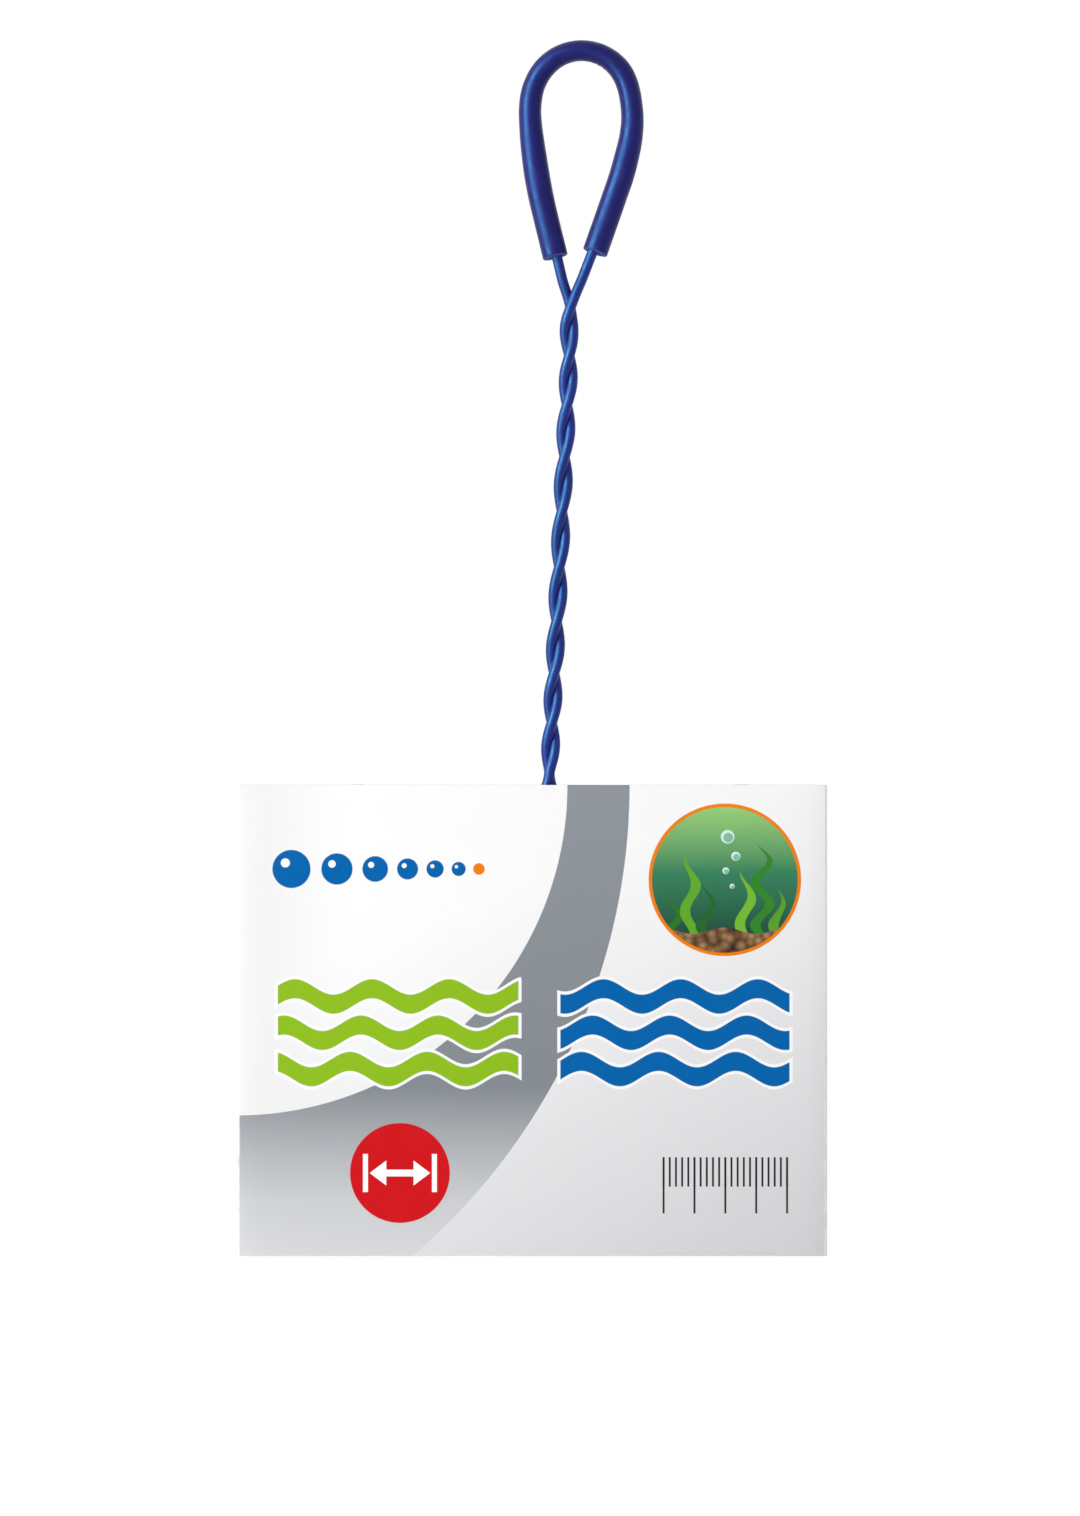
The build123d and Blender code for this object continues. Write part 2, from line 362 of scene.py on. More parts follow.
@dataclass(frozen=True)
class WovenTapeFinish:
    """White plain-woven tape, its weave laid out along the piece's own UV map in metres, with painted shade
    in the hollows of the weave.
    """

    name: str = "binding_tape"
    colour: Colour = ink(243, 243, 240)
    # Painted shade of the weave's hollows: the white tape is darkened where the weave runs low.
    hollow_shade: Colour = ink(196, 198, 200)
    yarn_pitch: float = 0.36 * MM
    yarn_height: float = 0.07 * MM
    fuzz_scale: float = 5200.0
    fuzz_share: float = 0.35
    cloud_scale: float = 260.0
    cloud_share: float = 0.3
    tone_range: Span = (0.1, 0.75)
    roughness: float = 0.85

    def make(self) -> Material:
        """Builds the material."""
        graph = ShaderGraph(self.name)
        along, across, _ = graph.split(graph.node("UVMap", uv_map="UVMap").outputs[0])
        turn = math.pi / self.yarn_pitch
        waves = [graph.math("SINE", graph.math("MULTIPLY", run, turn)) for run in (along, across)]
        weave = graph.math("MULTIPLY_ADD", graph.math("MULTIPLY", *waves), 0.5, 0.5)
        fuzz = graph.noise(graph.place(), self.fuzz_scale, detail=3.0)
        cloud = graph.noise(graph.place(), self.cloud_scale, detail=3.0)
        tone = graph.math("MULTIPLY_ADD", cloud, self.cloud_share, weave)
        graph.dress(
            # Painted shade in the weave's hollows, with a little random clouding.
            Base_Color=graph.blend(graph.spread(tone, self.tone_range), self.hollow_shade, self.colour),
            Roughness=self.roughness,
            Specular_IOR_Level=0.25,
            Sheen_Weight=0.25,
            Sheen_Roughness=0.5,
        )
        height = graph.math("MULTIPLY_ADD", fuzz, self.fuzz_share, weave)
        graph.emboss(height, strength=0.8, distance=self.yarn_height)
        return graph.material


@dataclass(frozen=True)
class TwistedThreadFinish:
    """White sewing thread with the slant of its twist, and painted shade in the grooves between its plies.
    """

    name: str = "sewing_thread"
    colour: Colour = ink(246, 246, 244)
    # Painted shade in the grooves between the plies.
    groove_shade: Colour = ink(188, 190, 193)
    ply_pitch: float = 0.42 * MM
    ply_height: float = 0.05 * MM

    def make(self) -> Material:
        """Builds the material."""
        graph = ShaderGraph(self.name)
        x, y, z = graph.split(graph.place())
        slant = graph.math("ADD", graph.math("ADD", x, z), y)
        ply = graph.math("SINE", graph.math("MULTIPLY", slant, 2 * math.pi / self.ply_pitch))
        lift = graph.math("MULTIPLY_ADD", ply, 0.5, 0.5)
        graph.dress(
            # Painted shade: darker where the plies run low.
            Base_Color=graph.blend(lift, self.groove_shade, self.colour),
            Roughness=0.6,
            Specular_IOR_Level=0.35,
            Sheen_Weight=0.15,
        )
        graph.emboss(lift, strength=0.7, distance=self.ply_height)
        return graph.material


@dataclass(frozen=True)
class KnitNetFinish:
    """White knitted netting yarn, soft and clouded, with painted shade between the stitches."""

    name: str = "knitted_net"
    colour: Colour = ink(240, 242, 243)
    # Darker end of the random clouding, and painted shade between the stitches.
    cloud_and_stitch_shade: Colour = ink(205, 210, 214)
    stitch_scale: float = 2600.0
    stitch_share: float = 0.5
    stitch_height: float = 0.04 * MM
    cloud_scale: float = 70.0
    cloud_share: float = 0.6
    tone_range: Span = (0.3, 0.75)

    def make(self) -> Material:
        """Builds the material."""
        graph = ShaderGraph(self.name)
        place = graph.place()
        loops = graph.noise(place, self.stitch_scale, detail=3.0)
        cloud = graph.noise(place, self.cloud_scale)
        stitches = graph.math("MULTIPLY", loops, self.stitch_share)
        tone = graph.math("MULTIPLY_ADD", cloud, self.cloud_share, stitches)
        graph.dress(
            # Random clouding, and painted shade where the stitches run low.
            Base_Color=graph.blend(graph.spread(tone, self.tone_range), self.cloud_and_stitch_shade, self.colour),
            Roughness=0.7,
            Specular_IOR_Level=0.3,
            Sheen_Weight=0.2,
        )
        graph.emboss(loops, strength=0.6, distance=self.stitch_height)
        return graph.material


@dataclass(frozen=True)
class GlueFinish:
    """Dried glue film, glossy where it pooled and dull where it thinned."""

    name: str = "dried_glue"
    colour: Colour = ink(226, 218, 196)
    thin: Colour = ink(238, 235, 226)
    pool_stretch: Triple = (1.0, 1.0, 0.35)
    pool_scale: float = 240.0
    pool_range: Span = (0.35, 0.65)
    pool_height: float = 0.05 * MM
    roughness: Span = (0.55, 0.2)

    def make(self) -> Material:
        """Builds the material."""
        graph = ShaderGraph(self.name)
        pools = graph.noise(graph.place(self.pool_stretch), self.pool_scale, detail=4.0)
        graph.dress(
            Base_Color=graph.blend(graph.spread(pools, self.pool_range), self.thin, self.colour),
            Roughness=graph.spread(pools, self.pool_range, self.roughness),
        )
        graph.emboss(pools, strength=0.4, distance=self.pool_height)
        return graph.material


@dataclass(frozen=True)
class BoardFinish:
    """Bare card: the uncoated inside of the sleeve, or its cut edge."""

    name: str
    colour: Colour
    fleck: Colour
    fibre_stretch: Triple = (1.0, 1.0, 0.4)
    fibre_scale: float = 1400.0
    fibre_height: float = 0.03 * MM
    fleck_range: Span = (0.5, 0.8)

    def make(self) -> Material:
        """Builds the material."""
        graph = ShaderGraph(self.name)
        fibres = graph.noise(graph.place(self.fibre_stretch), self.fibre_scale, detail=5.0)
        graph.dress(
            Base_Color=graph.blend(graph.spread(fibres, self.fleck_range), self.colour, self.fleck),
            Roughness=0.9,
            Specular_IOR_Level=0.2,
        )
        graph.emboss(fibres, strength=0.4, distance=self.fibre_height)
        return graph.material


@dataclass(frozen=True)
class FloorFinish:
    """Pale studio paper that fades to the white of the backdrop at its rim."""

    name: str = "studio_paper"
    colour: Colour = ink(236, 236, 236)
    grain_colour: Colour = ink(228, 228, 230)
    grain_scale: float = 900.0
    grain_share: float = 0.1
    fade_range: Span = (0.55, 0.95)
    seen_lift: float = 0.6

    def make(self) -> Material:
        """Builds the material."""
        graph = ShaderGraph(self.name)
        place = graph.place()
        grain = graph.math("MULTIPLY", graph.noise(place, self.grain_scale), self.grain_share)
        graph.dress(
            Base_Color=graph.blend(grain, self.colour, self.grain_colour),
            Roughness=0.9,
            Specular_IOR_Level=0.1,
        )
        light = graph.node("Emission")
        light.inputs["Color"].default_value = (1.0, 1.0, 1.0, 1.0)
        fade = graph.spread(graph.vector("LENGTH", place), self.fade_range)
        seen = graph.math("MULTIPLY", seen_rays(graph.tree), self.seen_lift)
        mix = graph.node("MixShader")
        graph.fill(mix, (graph.math("MAXIMUM", fade, seen), graph.shader.outputs[0], light.outputs[0]))
        graph.feed(graph.tree.nodes["Material Output"].inputs["Surface"], mix.outputs[0])
        return graph.material


@dataclass(frozen=True)
class Wave:
    """Wave of a printed line: its height and length in millimetres, and its phase in radians."""

    swing: float
    length: float
    start: float


class PrintPlate:
    """Flat inks of a card panel, placed in millimetres across and down from its top left corner."""

    EDGE = 0.09

    def __init__(self, graph: ShaderGraph, left: float, top: float) -> None:
        """Sets the panel's corner.

        Args:
            graph: Material that is printed.
            left: X of the panel's left edge, in metres.
            top: Z of the panel's top edge, in metres.
        """
        self.graph = graph
        x, _, z = graph.split(graph.place())
        self.across = graph.math("MULTIPLY_ADD", x, 1 / MM, -left / MM)
        self.down = graph.math("MULTIPLY_ADD", z, -1 / MM, top / MM)
        page = graph.node("CombineXYZ")
        graph.fill(page, (self.across, self.down))
        self.page = page.outputs[0]
        self.colour: Input = (1.0, 1.0, 1.0)

    def disc(self, across: float, down: float, radius: float) -> Socket:
        """Gives the signed distance to a disc, negative inside."""
        reach = self.graph.vector("DISTANCE", self.page, Vector((across, down, 0.0)))
        return self.grown(reach, radius)

    def block(self, middle: Span, size: Span, corner: float) -> Socket:
        """Gives the signed distance to a block with rounded corners.

        Args:
            middle: Its middle, across and down.
            size: Its width and height.
            corner: Radius of its corners.

        Returns:
            Distance, negative inside.
        """
        offset = self.graph.vector("SUBTRACT", self.page, Vector((*middle, 0.0)))
        half = Vector((size[0] / 2 - corner, size[1] / 2 - corner, 1.0))
        beyond = self.graph.vector("SUBTRACT", self.graph.vector("ABSOLUTE", offset), half)
        outside = self.graph.vector("MAXIMUM", beyond, Vector((0.0, 0.0, 0.0)))
        return self.grown(self.graph.vector("LENGTH", outside), corner)

    def sway(self, middle: float, wave: Wave, upright: bool = False) -> Socket:
        """Gives the signed offset from a waving line.

        Args:
            middle: Place of the line, down the panel or, where it is upright, across it.
            wave: How the line waves.
            upright: Whether the line runs down the panel.

        Returns:
            Offset, positive below or to the right of the line.
        """
        run, offset = (self.down, self.across) if upright else (self.across, self.down)
        turn = self.graph.math("MULTIPLY_ADD", run, 2 * math.pi / wave.length, wave.start)
        line = self.graph.math("MULTIPLY_ADD", self.graph.math("SINE", turn), wave.swing, middle)
        return self.graph.math("SUBTRACT", offset, line)

    def away(self, run: Socket, middle: float) -> Socket:
        """Gives how far a place lies to either side of a middle."""
        return self.graph.math("ABSOLUTE", self.graph.math("SUBTRACT", run, middle))

    def within(self, *distances: Input) -> Socket:
        """Gives the distance to what lies inside all the shapes."""
        return reduce(partial(self.graph.math, "MAXIMUM"), distances)

    def either(self, *distances: Input) -> Socket:
        """Gives the distance to what lies inside any of the shapes."""
        return reduce(partial(self.graph.math, "MINIMUM"), distances)

    def grown(self, distance: Socket, margin: float) -> Socket:
        """Gives the distance to a shape with a margin round it."""
        return self.graph.math("SUBTRACT", distance, margin)

    def beyond(self, distance: Socket) -> Socket:
        """Gives the distance to what lies outside a shape."""
        return self.graph.math("MULTIPLY", distance, -1.0)

    def lay(self, distance: Socket, colour: Input) -> None:
        """Prints a shape over what is there.

        Args:
            distance: Signed distance to the shape.
            colour: Its ink.
        """
        cover = self.graph.math("MULTIPLY_ADD", distance, -1 / self.EDGE, 0.5, clamp=True)
        self.colour = self.graph.blend(cover, self.colour, colour)


@dataclass(frozen=True)
class Weed:
    """Blade of weed: its place across, its tip's place down, its wave and its ink."""

    offset: float
    tip: float
    wave: Wave
    colour: Colour


@dataclass(frozen=True)
class AirBubble:
    """Bubble in the water: its place across and down, and its radius."""

    offset: float
    rise: float
    radius: float


@dataclass(frozen=True)
class PondRoundel:
    """Round picture of water, weed, pebbles and bubbles, in millimetres from its middle."""

    across: float = 107.5
    down: float = 20.9
    radius: float = 16.8
    ring_width: float = 0.75
    ring: Colour = ink(240, 126, 12)
    water_height: float = 32.0
    shallow: Colour = ink(150, 205, 120)
    middle_water: Colour = ink(56, 128, 92)
    deep: Colour = ink(20, 44, 46)
    weeds: tuple[Weed, ...] = (
        Weed(-11.5, 3.0, Wave(1.5, 9.0, 0.4), ink(44, 118, 38)),
        Weed(-7.6, -6.0, Wave(1.2, 11.5, 2.1), ink(96, 168, 44)),
        Weed(-3.9, 1.0, Wave(1.4, 10.0, 4.0), ink(38, 102, 46)),
        Weed(4.6, -2.0, Wave(1.3, 12.0, 1.2), ink(116, 182, 52)),
        Weed(8.3, -8.0, Wave(1.6, 9.5, 3.1), ink(52, 132, 44)),
        Weed(11.8, 2.0, Wave(1.1, 10.5, 5.0), ink(88, 158, 48)),
    )
    weed_taper: float = 0.16
    weed_half: float = 1.15
    bed_down: float = 11.2
    bed_wave: Wave = Wave(0.7, 14.0, 0.5)
    pebble_scale: float = 0.55
    pebble_top: Colour = ink(176, 140, 98)
    pebble_side: Colour = ink(110, 78, 52)
    pebble_gap: Colour = ink(40, 30, 24)
    bubbles: tuple[AirBubble, ...] = (
        AirBubble(0.6, -9.5, 1.5),
        AirBubble(2.4, -5.2, 1.0),
        AirBubble(0.2, -2.0, 0.75),
        AirBubble(1.6, 1.4, 0.55),
    )
    bubble_rim: Colour = ink(214, 238, 232)
    bubble_core: Colour = ink(128, 190, 160)
    core_shift: Span = (0.15, 0.2)
    core_share: float = 0.72

    def lay(self, plate: PrintPlate) -> None:
        """Prints the ring and the water, and then what grows, lies and rises in it.

        Args:
            plate: Panel that is printed.
        """
        graph = plate.graph
        glass = plate.disc(self.across, self.down, self.radius - self.ring_width)
        surface = self.down - self.water_height / 2
        depth = graph.math("DIVIDE", graph.math("SUBTRACT", plate.down, surface), self.water_height)
        water = graph.gradient(depth, (0.0, self.shallow), (0.45, self.middle_water), (1.0, self.deep))
        plate.lay(plate.disc(self.across, self.down, self.radius), self.ring)
        plate.lay(glass, water)
        for weed in self.weeds:
            lean = plate.sway(self.across + weed.offset, weed.wave, upright=True)
            height = graph.math("SUBTRACT", plate.down, self.down + weed.tip)
            girth = graph.math("MINIMUM", graph.math("MULTIPLY", height, self.weed_taper), self.weed_half)
            leaf = graph.math("SUBTRACT", graph.math("ABSOLUTE", lean), girth)
            plate.lay(plate.within(leaf, glass), weed.colour)
        self.lay_pebbles(plate, glass)
        for bubble in self.bubbles:
            across, down = self.across + bubble.offset, self.down + bubble.rise
            plate.lay(plate.disc(across, down, bubble.radius), self.bubble_rim)
            core = (across + self.core_shift[0], down + self.core_shift[1])
            plate.lay(plate.disc(*core, bubble.radius * self.core_share), self.bubble_core)

    def lay_pebbles(self, plate: PrintPlate, glass: Socket) -> None:
        """Prints the bed of pebbles.

        Args:
            plate: Panel that is printed.
            glass: Distance to the water's disc.
        """
        graph = plate.graph
        stones = graph.node("TexVoronoi")
        graph.feed(stones.inputs["Vector"], plate.page)
        graph.feed(stones.inputs["Scale"], self.pebble_scale)
        stops = ((0.0, self.pebble_top), (0.6, self.pebble_side), (1.0, self.pebble_gap))
        pebbles = graph.gradient(stones.outputs["Distance"], *stops)
        bed = plate.sway(self.down + self.bed_down, self.bed_wave)
        plate.lay(plate.within(plate.beyond(bed), glass), pebbles)


@dataclass(frozen=True)
class PrintedCardFinish:
    """Coated card with a pale gradient, painted shade along its left edge, a grey curved band and plain
    pond motifs.
    """

    left: float
    top: float
    width: float
    near: float
    far: float
    front: bool
    name: str
    paper: Colour = ink(247, 247, 247)
    # Painted shade along the card's left edge.
    left_edge_painted_shade: Colour = ink(235, 235, 235)
    mid_grey: Colour = ink(240, 240, 241)
    low_grey: Colour = ink(227, 227, 229)
    far_grey: Colour = ink(210, 209, 212)
    band_grey: Colour = ink(142, 148, 153)
    band_deep: Colour = ink(131, 137, 142)
    band_turn: Colour = ink(177, 180, 184)
    band_lift: Colour = ink(201, 203, 206)
    band_pale: Colour = ink(214, 214, 217)
    green: Colour = ink(141, 187, 32)
    blue: Colour = ink(0, 98, 170)
    red: Colour = ink(207, 20, 28)
    orange: Colour = ink(240, 126, 12)
    arrow_white: Colour = ink(250, 250, 250)
    dark: Colour = ink(38, 38, 42)
    sheen_scale: float = 160.0
    sheen_range: Span = (0.3, 0.7)
    roughness: Span = (0.38, 0.5)
    fibre_scale: float = 2400.0
    fibre_height: float = 0.02 * MM
    worn_width: Span = (0.75, 0.35)
    worn_depth: Span = (1.1, 0.5)
    scuff_stretch: Triple = (1.0, 1.0, 0.5)
    scuff_scale: float = 700.0
    scuff_range: Span = (0.3, 0.6)
    scuff_cover: Span = (0.35, 0.9)

    def make(self) -> Material:
        """Builds the material."""
        graph = ShaderGraph(self.name)
        plate = PrintPlate(graph, self.left, self.top)
        self.ground(plate)
        if self.front:
            self.curved_band(plate)
            self.bubble_row(plate)
            PondRoundel(ring=self.orange).lay(plate)
            self.wave_rows(plate)
            self.span_badge(plate)
            self.tick_scale(plate)
        self.worn_folds(plate)
        sheen = graph.noise(graph.place(), self.sheen_scale, detail=3.0)
        graph.dress(
            Base_Color=plate.colour,
            Roughness=graph.spread(sheen, self.sheen_range, self.roughness),
            Specular_IOR_Level=0.05,
        )
        fibres = graph.noise(graph.place(), self.fibre_scale, detail=3.0)
        graph.emboss(fibres, strength=0.12, distance=self.fibre_height)
        return graph.material

    def ground(self, plate: PrintPlate) -> None:
        """Lays the printed pale gradient that darkens towards the lower right, and painted shade along the
        left edge against the key lamp's stronger light there.

        Args:
            plate: Panel that is printed.
        """
        graph = plate.graph
        down_share, across_share, length, left_shade_width = 0.93, 0.36, 160.0, 28.0
        sideways = graph.math("MULTIPLY", plate.across, across_share)
        slant = graph.math("MULTIPLY_ADD", plate.down, down_share, sideways)
        stops = ((0.27, self.paper), (0.41, self.mid_grey), (0.6, self.low_grey), (0.9, self.far_grey))
        fall = graph.gradient(graph.math("DIVIDE", slant, length), *stops)
        # Painted shade: the card darkens over its left edge, where the key lamp falls strongest.
        edge = graph.spread(plate.across, (0.0, left_shade_width), (1.0, 0.0))
        plate.colour = graph.blend(edge, fall, self.left_edge_painted_shade)

    def curved_band(self, plate: PrintPlate) -> None:
        """Lays the grey band between two arcs, deeper half way down and paler towards the foot.

        Args:
            plate: Panel that is printed.
        """
        height, inner_radius, outer_left, outer_radius = 104.0, 72.8, -50.0, 136.5
        inner = plate.disc(0.0, 0.0, inner_radius)
        outer = plate.disc(outer_left, 0.0, outer_radius)
        grey = plate.graph.gradient(
            plate.graph.math("DIVIDE", plate.down, height),
            (0.0, self.band_grey),
            (0.64, self.band_deep),
            (0.78, self.band_turn),
            (0.88, self.band_lift),
            (1.0, self.band_pale),
        )
        plate.lay(plate.within(outer, plate.beyond(inner)), grey)

    def bubble_row(self, plate: PrintPlate) -> None:
        """Lays a row of blue bubbles that shrink to the right, and one in orange.

        Args:
            plate: Panel that is printed.
        """
        across, down, radius = 12.0, 18.5, 4.2
        pitch, gap, shrink, glint_shift, glint_share = 2.1, 1.2, 0.82, 0.32, 0.24
        for _ in range(6):
            shift = glint_shift * radius
            plate.lay(plate.disc(across, down, radius), self.blue)
            plate.lay(plate.disc(across - shift, down - shift, glint_share * radius), self.paper)
            across += pitch * radius + gap
            radius *= shrink
        plate.lay(plate.disc(across, down, radius), self.orange)

    def wave_rows(self, plate: PrintPlate) -> None:
        """Lays three green and three blue ripples side by side, each with a white rim.

        Args:
            plate: Panel that is printed.
        """
        first, pitch, height, corner = 46.6, 8.0, 26.0, 1.6
        swing, length, lag, half_stroke, rim = 1.7, 17.0, 0.9, 2.1, 0.7
        for middle, width, colour in ((35.5, 53.0, self.green), (96.5, 50.5, self.blue)):
            zone = plate.block((middle, first + pitch), (width, height), corner)
            rows = []
            for row in range(3):
                ripple = plate.sway(first + pitch * row, Wave(swing, length, lag * row))
                rows.append(plate.grown(plate.graph.math("ABSOLUTE", ripple), half_stroke))
            ripples = plate.within(plate.either(*rows), zone)
            plate.lay(plate.grown(ripples, rim), self.paper)
            plate.lay(ripples, colour)

    def span_badge(self, plate: PrintPlate) -> None:
        """Lays a red disc with a white arrow that points both ways between two stops.

        Args:
            plate: Panel that is printed.
        """
        graph = plate.graph
        across, down, radius = 35.9, 85.5, 11.0
        head_slope, head_tip, head_back = 0.75, 5.0, 3.0
        shaft_half, shaft_reach = 0.75, 4.0
        stop_reach, stop_half_height, stop_half_width = 7.6, 4.2, 0.55
        plate.lay(plate.disc(across, down, radius), self.red)
        sideways = plate.away(plate.across, across)
        height = plate.away(plate.down, down)
        slope = graph.math("MULTIPLY_ADD", sideways, head_slope, -head_tip)
        back = graph.math("SUBTRACT", head_back, sideways)
        head = plate.within(graph.math("ADD", height, slope), back)
        shaft = plate.within(plate.grown(height, shaft_half), plate.grown(sideways, shaft_reach))
        bar = plate.grown(plate.away(sideways, stop_reach), stop_half_width)
        stop = plate.within(plate.grown(height, stop_half_height), bar)
        plate.lay(plate.either(head, shaft, stop), self.arrow_white)

    def tick_scale(self, plate: PrintPlate) -> None:
        """Lays a small dark scale of even ticks, every fifth one longer.

        Args:
            plate: Panel that is printed.
        """
        left, top, pitch, half_stroke, margin, corner = 94.0, 82.0, 1.36, 0.22, 0.6, 0.1
        ticks, long_every, short, long = 20, 5, 6.5, 12.4
        width = ticks * pitch
        run = plate.graph.math("SUBTRACT", plate.across, left)
        zone = plate.block((left + width / 2, top + long / 2), (width + margin, long), corner)
        for spacing, length in ((pitch, short), (long_every * pitch, long)):
            nearest = plate.graph.math("PINGPONG", run, spacing / 2)
            tick = plate.grown(nearest, half_stroke)
            plate.lay(plate.within(tick, plate.grown(plate.down, top + length), zone), self.dark)

    def worn_folds(self, plate: PrintPlate) -> None:
        """Lightens the ink along the four folds, where the card has been creased.

        Args:
            plate: Panel that is printed.
        """
        graph = plate.graph
        wide = self.width / MM / 2
        deep = (self.far - self.near) / MM / 2
        middle = (self.far + self.near) / MM / 2
        _, depth, _ = graph.split(graph.place())
        sideways = plate.away(plate.across, wide)
        inward = plate.away(graph.math("DIVIDE", depth, MM), middle)
        side = graph.spread(sideways, tuple(wide - reach for reach in self.worn_width))
        face = graph.spread(inward, tuple(deep - reach for reach in self.worn_depth))
        crease = graph.math("MULTIPLY", side, face)
        scuffs = graph.noise(graph.place(self.scuff_stretch), self.scuff_scale, detail=4.0)
        rub = graph.spread(scuffs, self.scuff_range, self.scuff_cover)
        plate.colour = graph.blend(graph.math("MULTIPLY", crease, rub), plate.colour, self.paper)


@dataclass(frozen=True)
class Leg:
    """Stretch of a path: its length, and how far it turns to the left."""

    length: float
    turn: float = 0.0


@dataclass(frozen=True)
class PlanarPath:
    """Path of lines and arcs in the XZ plane, drawn as seen from the front."""

    start: Vector
    heading: float
    legs: tuple[Leg, ...]

    @property
    def length(self) -> float:
        """Length of all the legs."""
        return sum(leg.length for leg in self.legs)

    def at(self, run: float) -> Matrix:
        """Gives the placement at a distance along the path.

        Args:
            run: Distance from the start.

        Returns:
            Matrix with X along the path, Z to its left and Y away from the viewer.
        """
        point, heading = self.start.copy(), self.heading
        for leg in self.legs:
            share = min(max(run / leg.length, 0.0), 1.0)
            ahead, turn = leg.length * share, leg.turn * share
            chord = ahead * (math.sin(turn / 2) / (turn / 2)) if abs(turn) > TINY else ahead
            toward = heading + turn / 2
            point += Vector((math.cos(toward), 0.0, math.sin(toward))) * chord
            heading += turn
            run -= leg.length
            if run <= 0.0:
                break
        return Matrix.Translation(point) @ Matrix.Rotation(-heading, 4, "Y")

    def runs(self, straight_step: float, arc_step: float) -> list[float]:
        """Gives the distances at which a sweep along the path has its rings.

        Args:
            straight_step: Spacing on the lines.
            arc_step: Spacing on the arcs.

        Returns:
            Distances from the start to the end.
        """
        found, passed = [0.0], 0.0
        for leg in self.legs:
            count = max(1, math.ceil(leg.length / (arc_step if leg.turn else straight_step)))
            found += [passed + leg.length * (k + 1) / count for k in range(count)]
            passed += leg.length
        return found


class SweptMesh:
    """Bmesh that a closed ring of edges is swept through, with run and girth kept on its vertices."""

    def __init__(self) -> None:
        """Starts an empty mesh."""
        self.bm = bmesh.new()
        self.run = self.bm.verts.layers.float.new("run")
        self.girth = self.bm.verts.layers.float.new("girth")

    def ring(self, points: Sequence[Vector], place: Matrix) -> Edges:
        """Makes the first ring.

        Args:
            points: Corners of the closed section, in order.
            place: Placement of the section.

        Returns:
            Edges of the ring.
        """
        verts = [self.bm.verts.new(place @ point) for point in points]
        girth = 0.0
        for index, vert in enumerate(verts):
            vert[self.girth] = girth
            girth += (points[(index + 1) % len(points)] - points[index]).length
        self.around = girth
        return [self.bm.edges.new((vert, verts[(k + 1) % len(verts)])) for k, vert in enumerate(verts)]

    def sweep(self, ring: Edges, places: Sequence[Matrix], runs: Sequence[float]) -> Edges:
        """Extrudes a ring from place to place.

        Args:
            ring: Edges of the first ring, at the first place.
            places: Placements along the path.
            runs: Distance along the path of each placement.

        Returns:
            Edges of the last ring.
        """
        for index in range(1, len(places)):
            made = bmesh.ops.extrude_edge_only(self.bm, edges=ring)["geom"]
            verts = [item for item in made if isinstance(item, bmesh.types.BMVert)]
            edges = [item for item in made if isinstance(item, bmesh.types.BMEdge)]
            fresh = set(verts)
            ring = [edge for edge in edges if fresh.issuperset(edge.verts)]
            step = places[index] @ places[index - 1].inverted()
            bmesh.ops.transform(self.bm, matrix=step, verts=verts, space=Matrix.Identity(4))
            for vert in verts:
                vert[self.run] = runs[index]
        return ring

    def loft(self, section: Sequence[Vector], places: Sequence[Matrix], runs: Sequence[float]) -> None:
        """Sweeps a section from place to place, closes both ends and turns the skin outwards.

        Args:
            section: Corners of the closed section, in order.
            places: Placements along the path.
            runs: Distance along the path of each placement.
        """
        first = self.ring(section, places[0])
        last = self.sweep(first, places, runs)
        for ends in (first, last):
            bmesh.ops.edgeloop_fill(self.bm, edges=ends)
        bmesh.ops.recalc_face_normals(self.bm, faces=self.bm.faces[:])

    def unwrap(self) -> None:
        """Lays a UV map in metres: run along U, girth along V."""
        layer = self.bm.loops.layers.uv.new("UVMap")
        for face in self.bm.faces:
            girths = [loop.vert[self.girth] for loop in face.loops]
            wraps = max(girths) - min(girths) > self.around / 2
            for loop, girth in zip(face.loops, girths):
                lift = self.around if wraps and girth < self.around / 2 else 0.0
                loop[layer].uv = (loop.vert[self.run], girth + lift)


def round_section(radius: float, segments: int) -> list[Vector]:
    """Gives the corners of a round section across a path."""
    turns = [2 * math.pi * k / segments for k in range(segments)]
    return [Vector((0.0, math.sin(turn), math.cos(turn))) * radius for turn in turns]


def add_object(name: str, bm: BMesh) -> Piece:
    """Adds an object with a copy of a bmesh to the scene."""
    mesh = bpy.data.meshes.new(name)
    bm.to_mesh(mesh)
    made = bpy.data.objects.new(name, mesh)
    bpy.context.scene.collection.objects.link(made)
    return made


def publish(
    name: str,
    bm: BMesh,
    materials: Iterable[Material],
    body: Body,
    replaces: Sequence[str],
    sharp_angle: float = math.radians(40),
) -> Piece:
    """Turns a bmesh into a finished piece on its body.

    Args:
        name: Name of the piece.
        bm: Mesh of the piece, which is freed.
        materials: Materials in the order of the faces' indices.
        body: Body that it rides on.
        replaces: CAD nodes that it stands for.
        sharp_angle: Angle past which an edge stays sharp.

    Returns:
        The new object.
    """
    piece = add_object(name, bm)
    bm.free()
    mesh = piece.data
    for material in materials:
        mesh.materials.append(material)
    mesh.shade_smooth()
    mesh.set_sharp_from_angle(angle=sharp_angle)
    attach(piece, body.value)
    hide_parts(*replaces)
    log.info("%s: %d faces on %s", name, len(mesh.polygons), body.value)
    return piece


def dress_node(node: str, material: Material) -> None:
    """Gives a CAD node that stays in view its finish.

    Args:
        node: Name of the node.
        material: Its material.
    """
    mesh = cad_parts[node].data
    mesh.materials.clear()
    mesh.materials.append(material)
    log.info("%s: dressed in %s", node, material.name)


@dataclass(frozen=True)
class LimbBow:
    """Bow of a limb to the right: its reach, and where it starts and ends below the crown's middle."""

    reach: float
    start: float
    end: float

    def shift(self, depth: float) -> float:
        """Gives the shift to the right at a depth below the crown's middle."""
        share = min(max((depth - self.start) / (self.end - self.start), 0.0), 1.0)
        return self.reach * math.sin(math.pi * share) ** 2


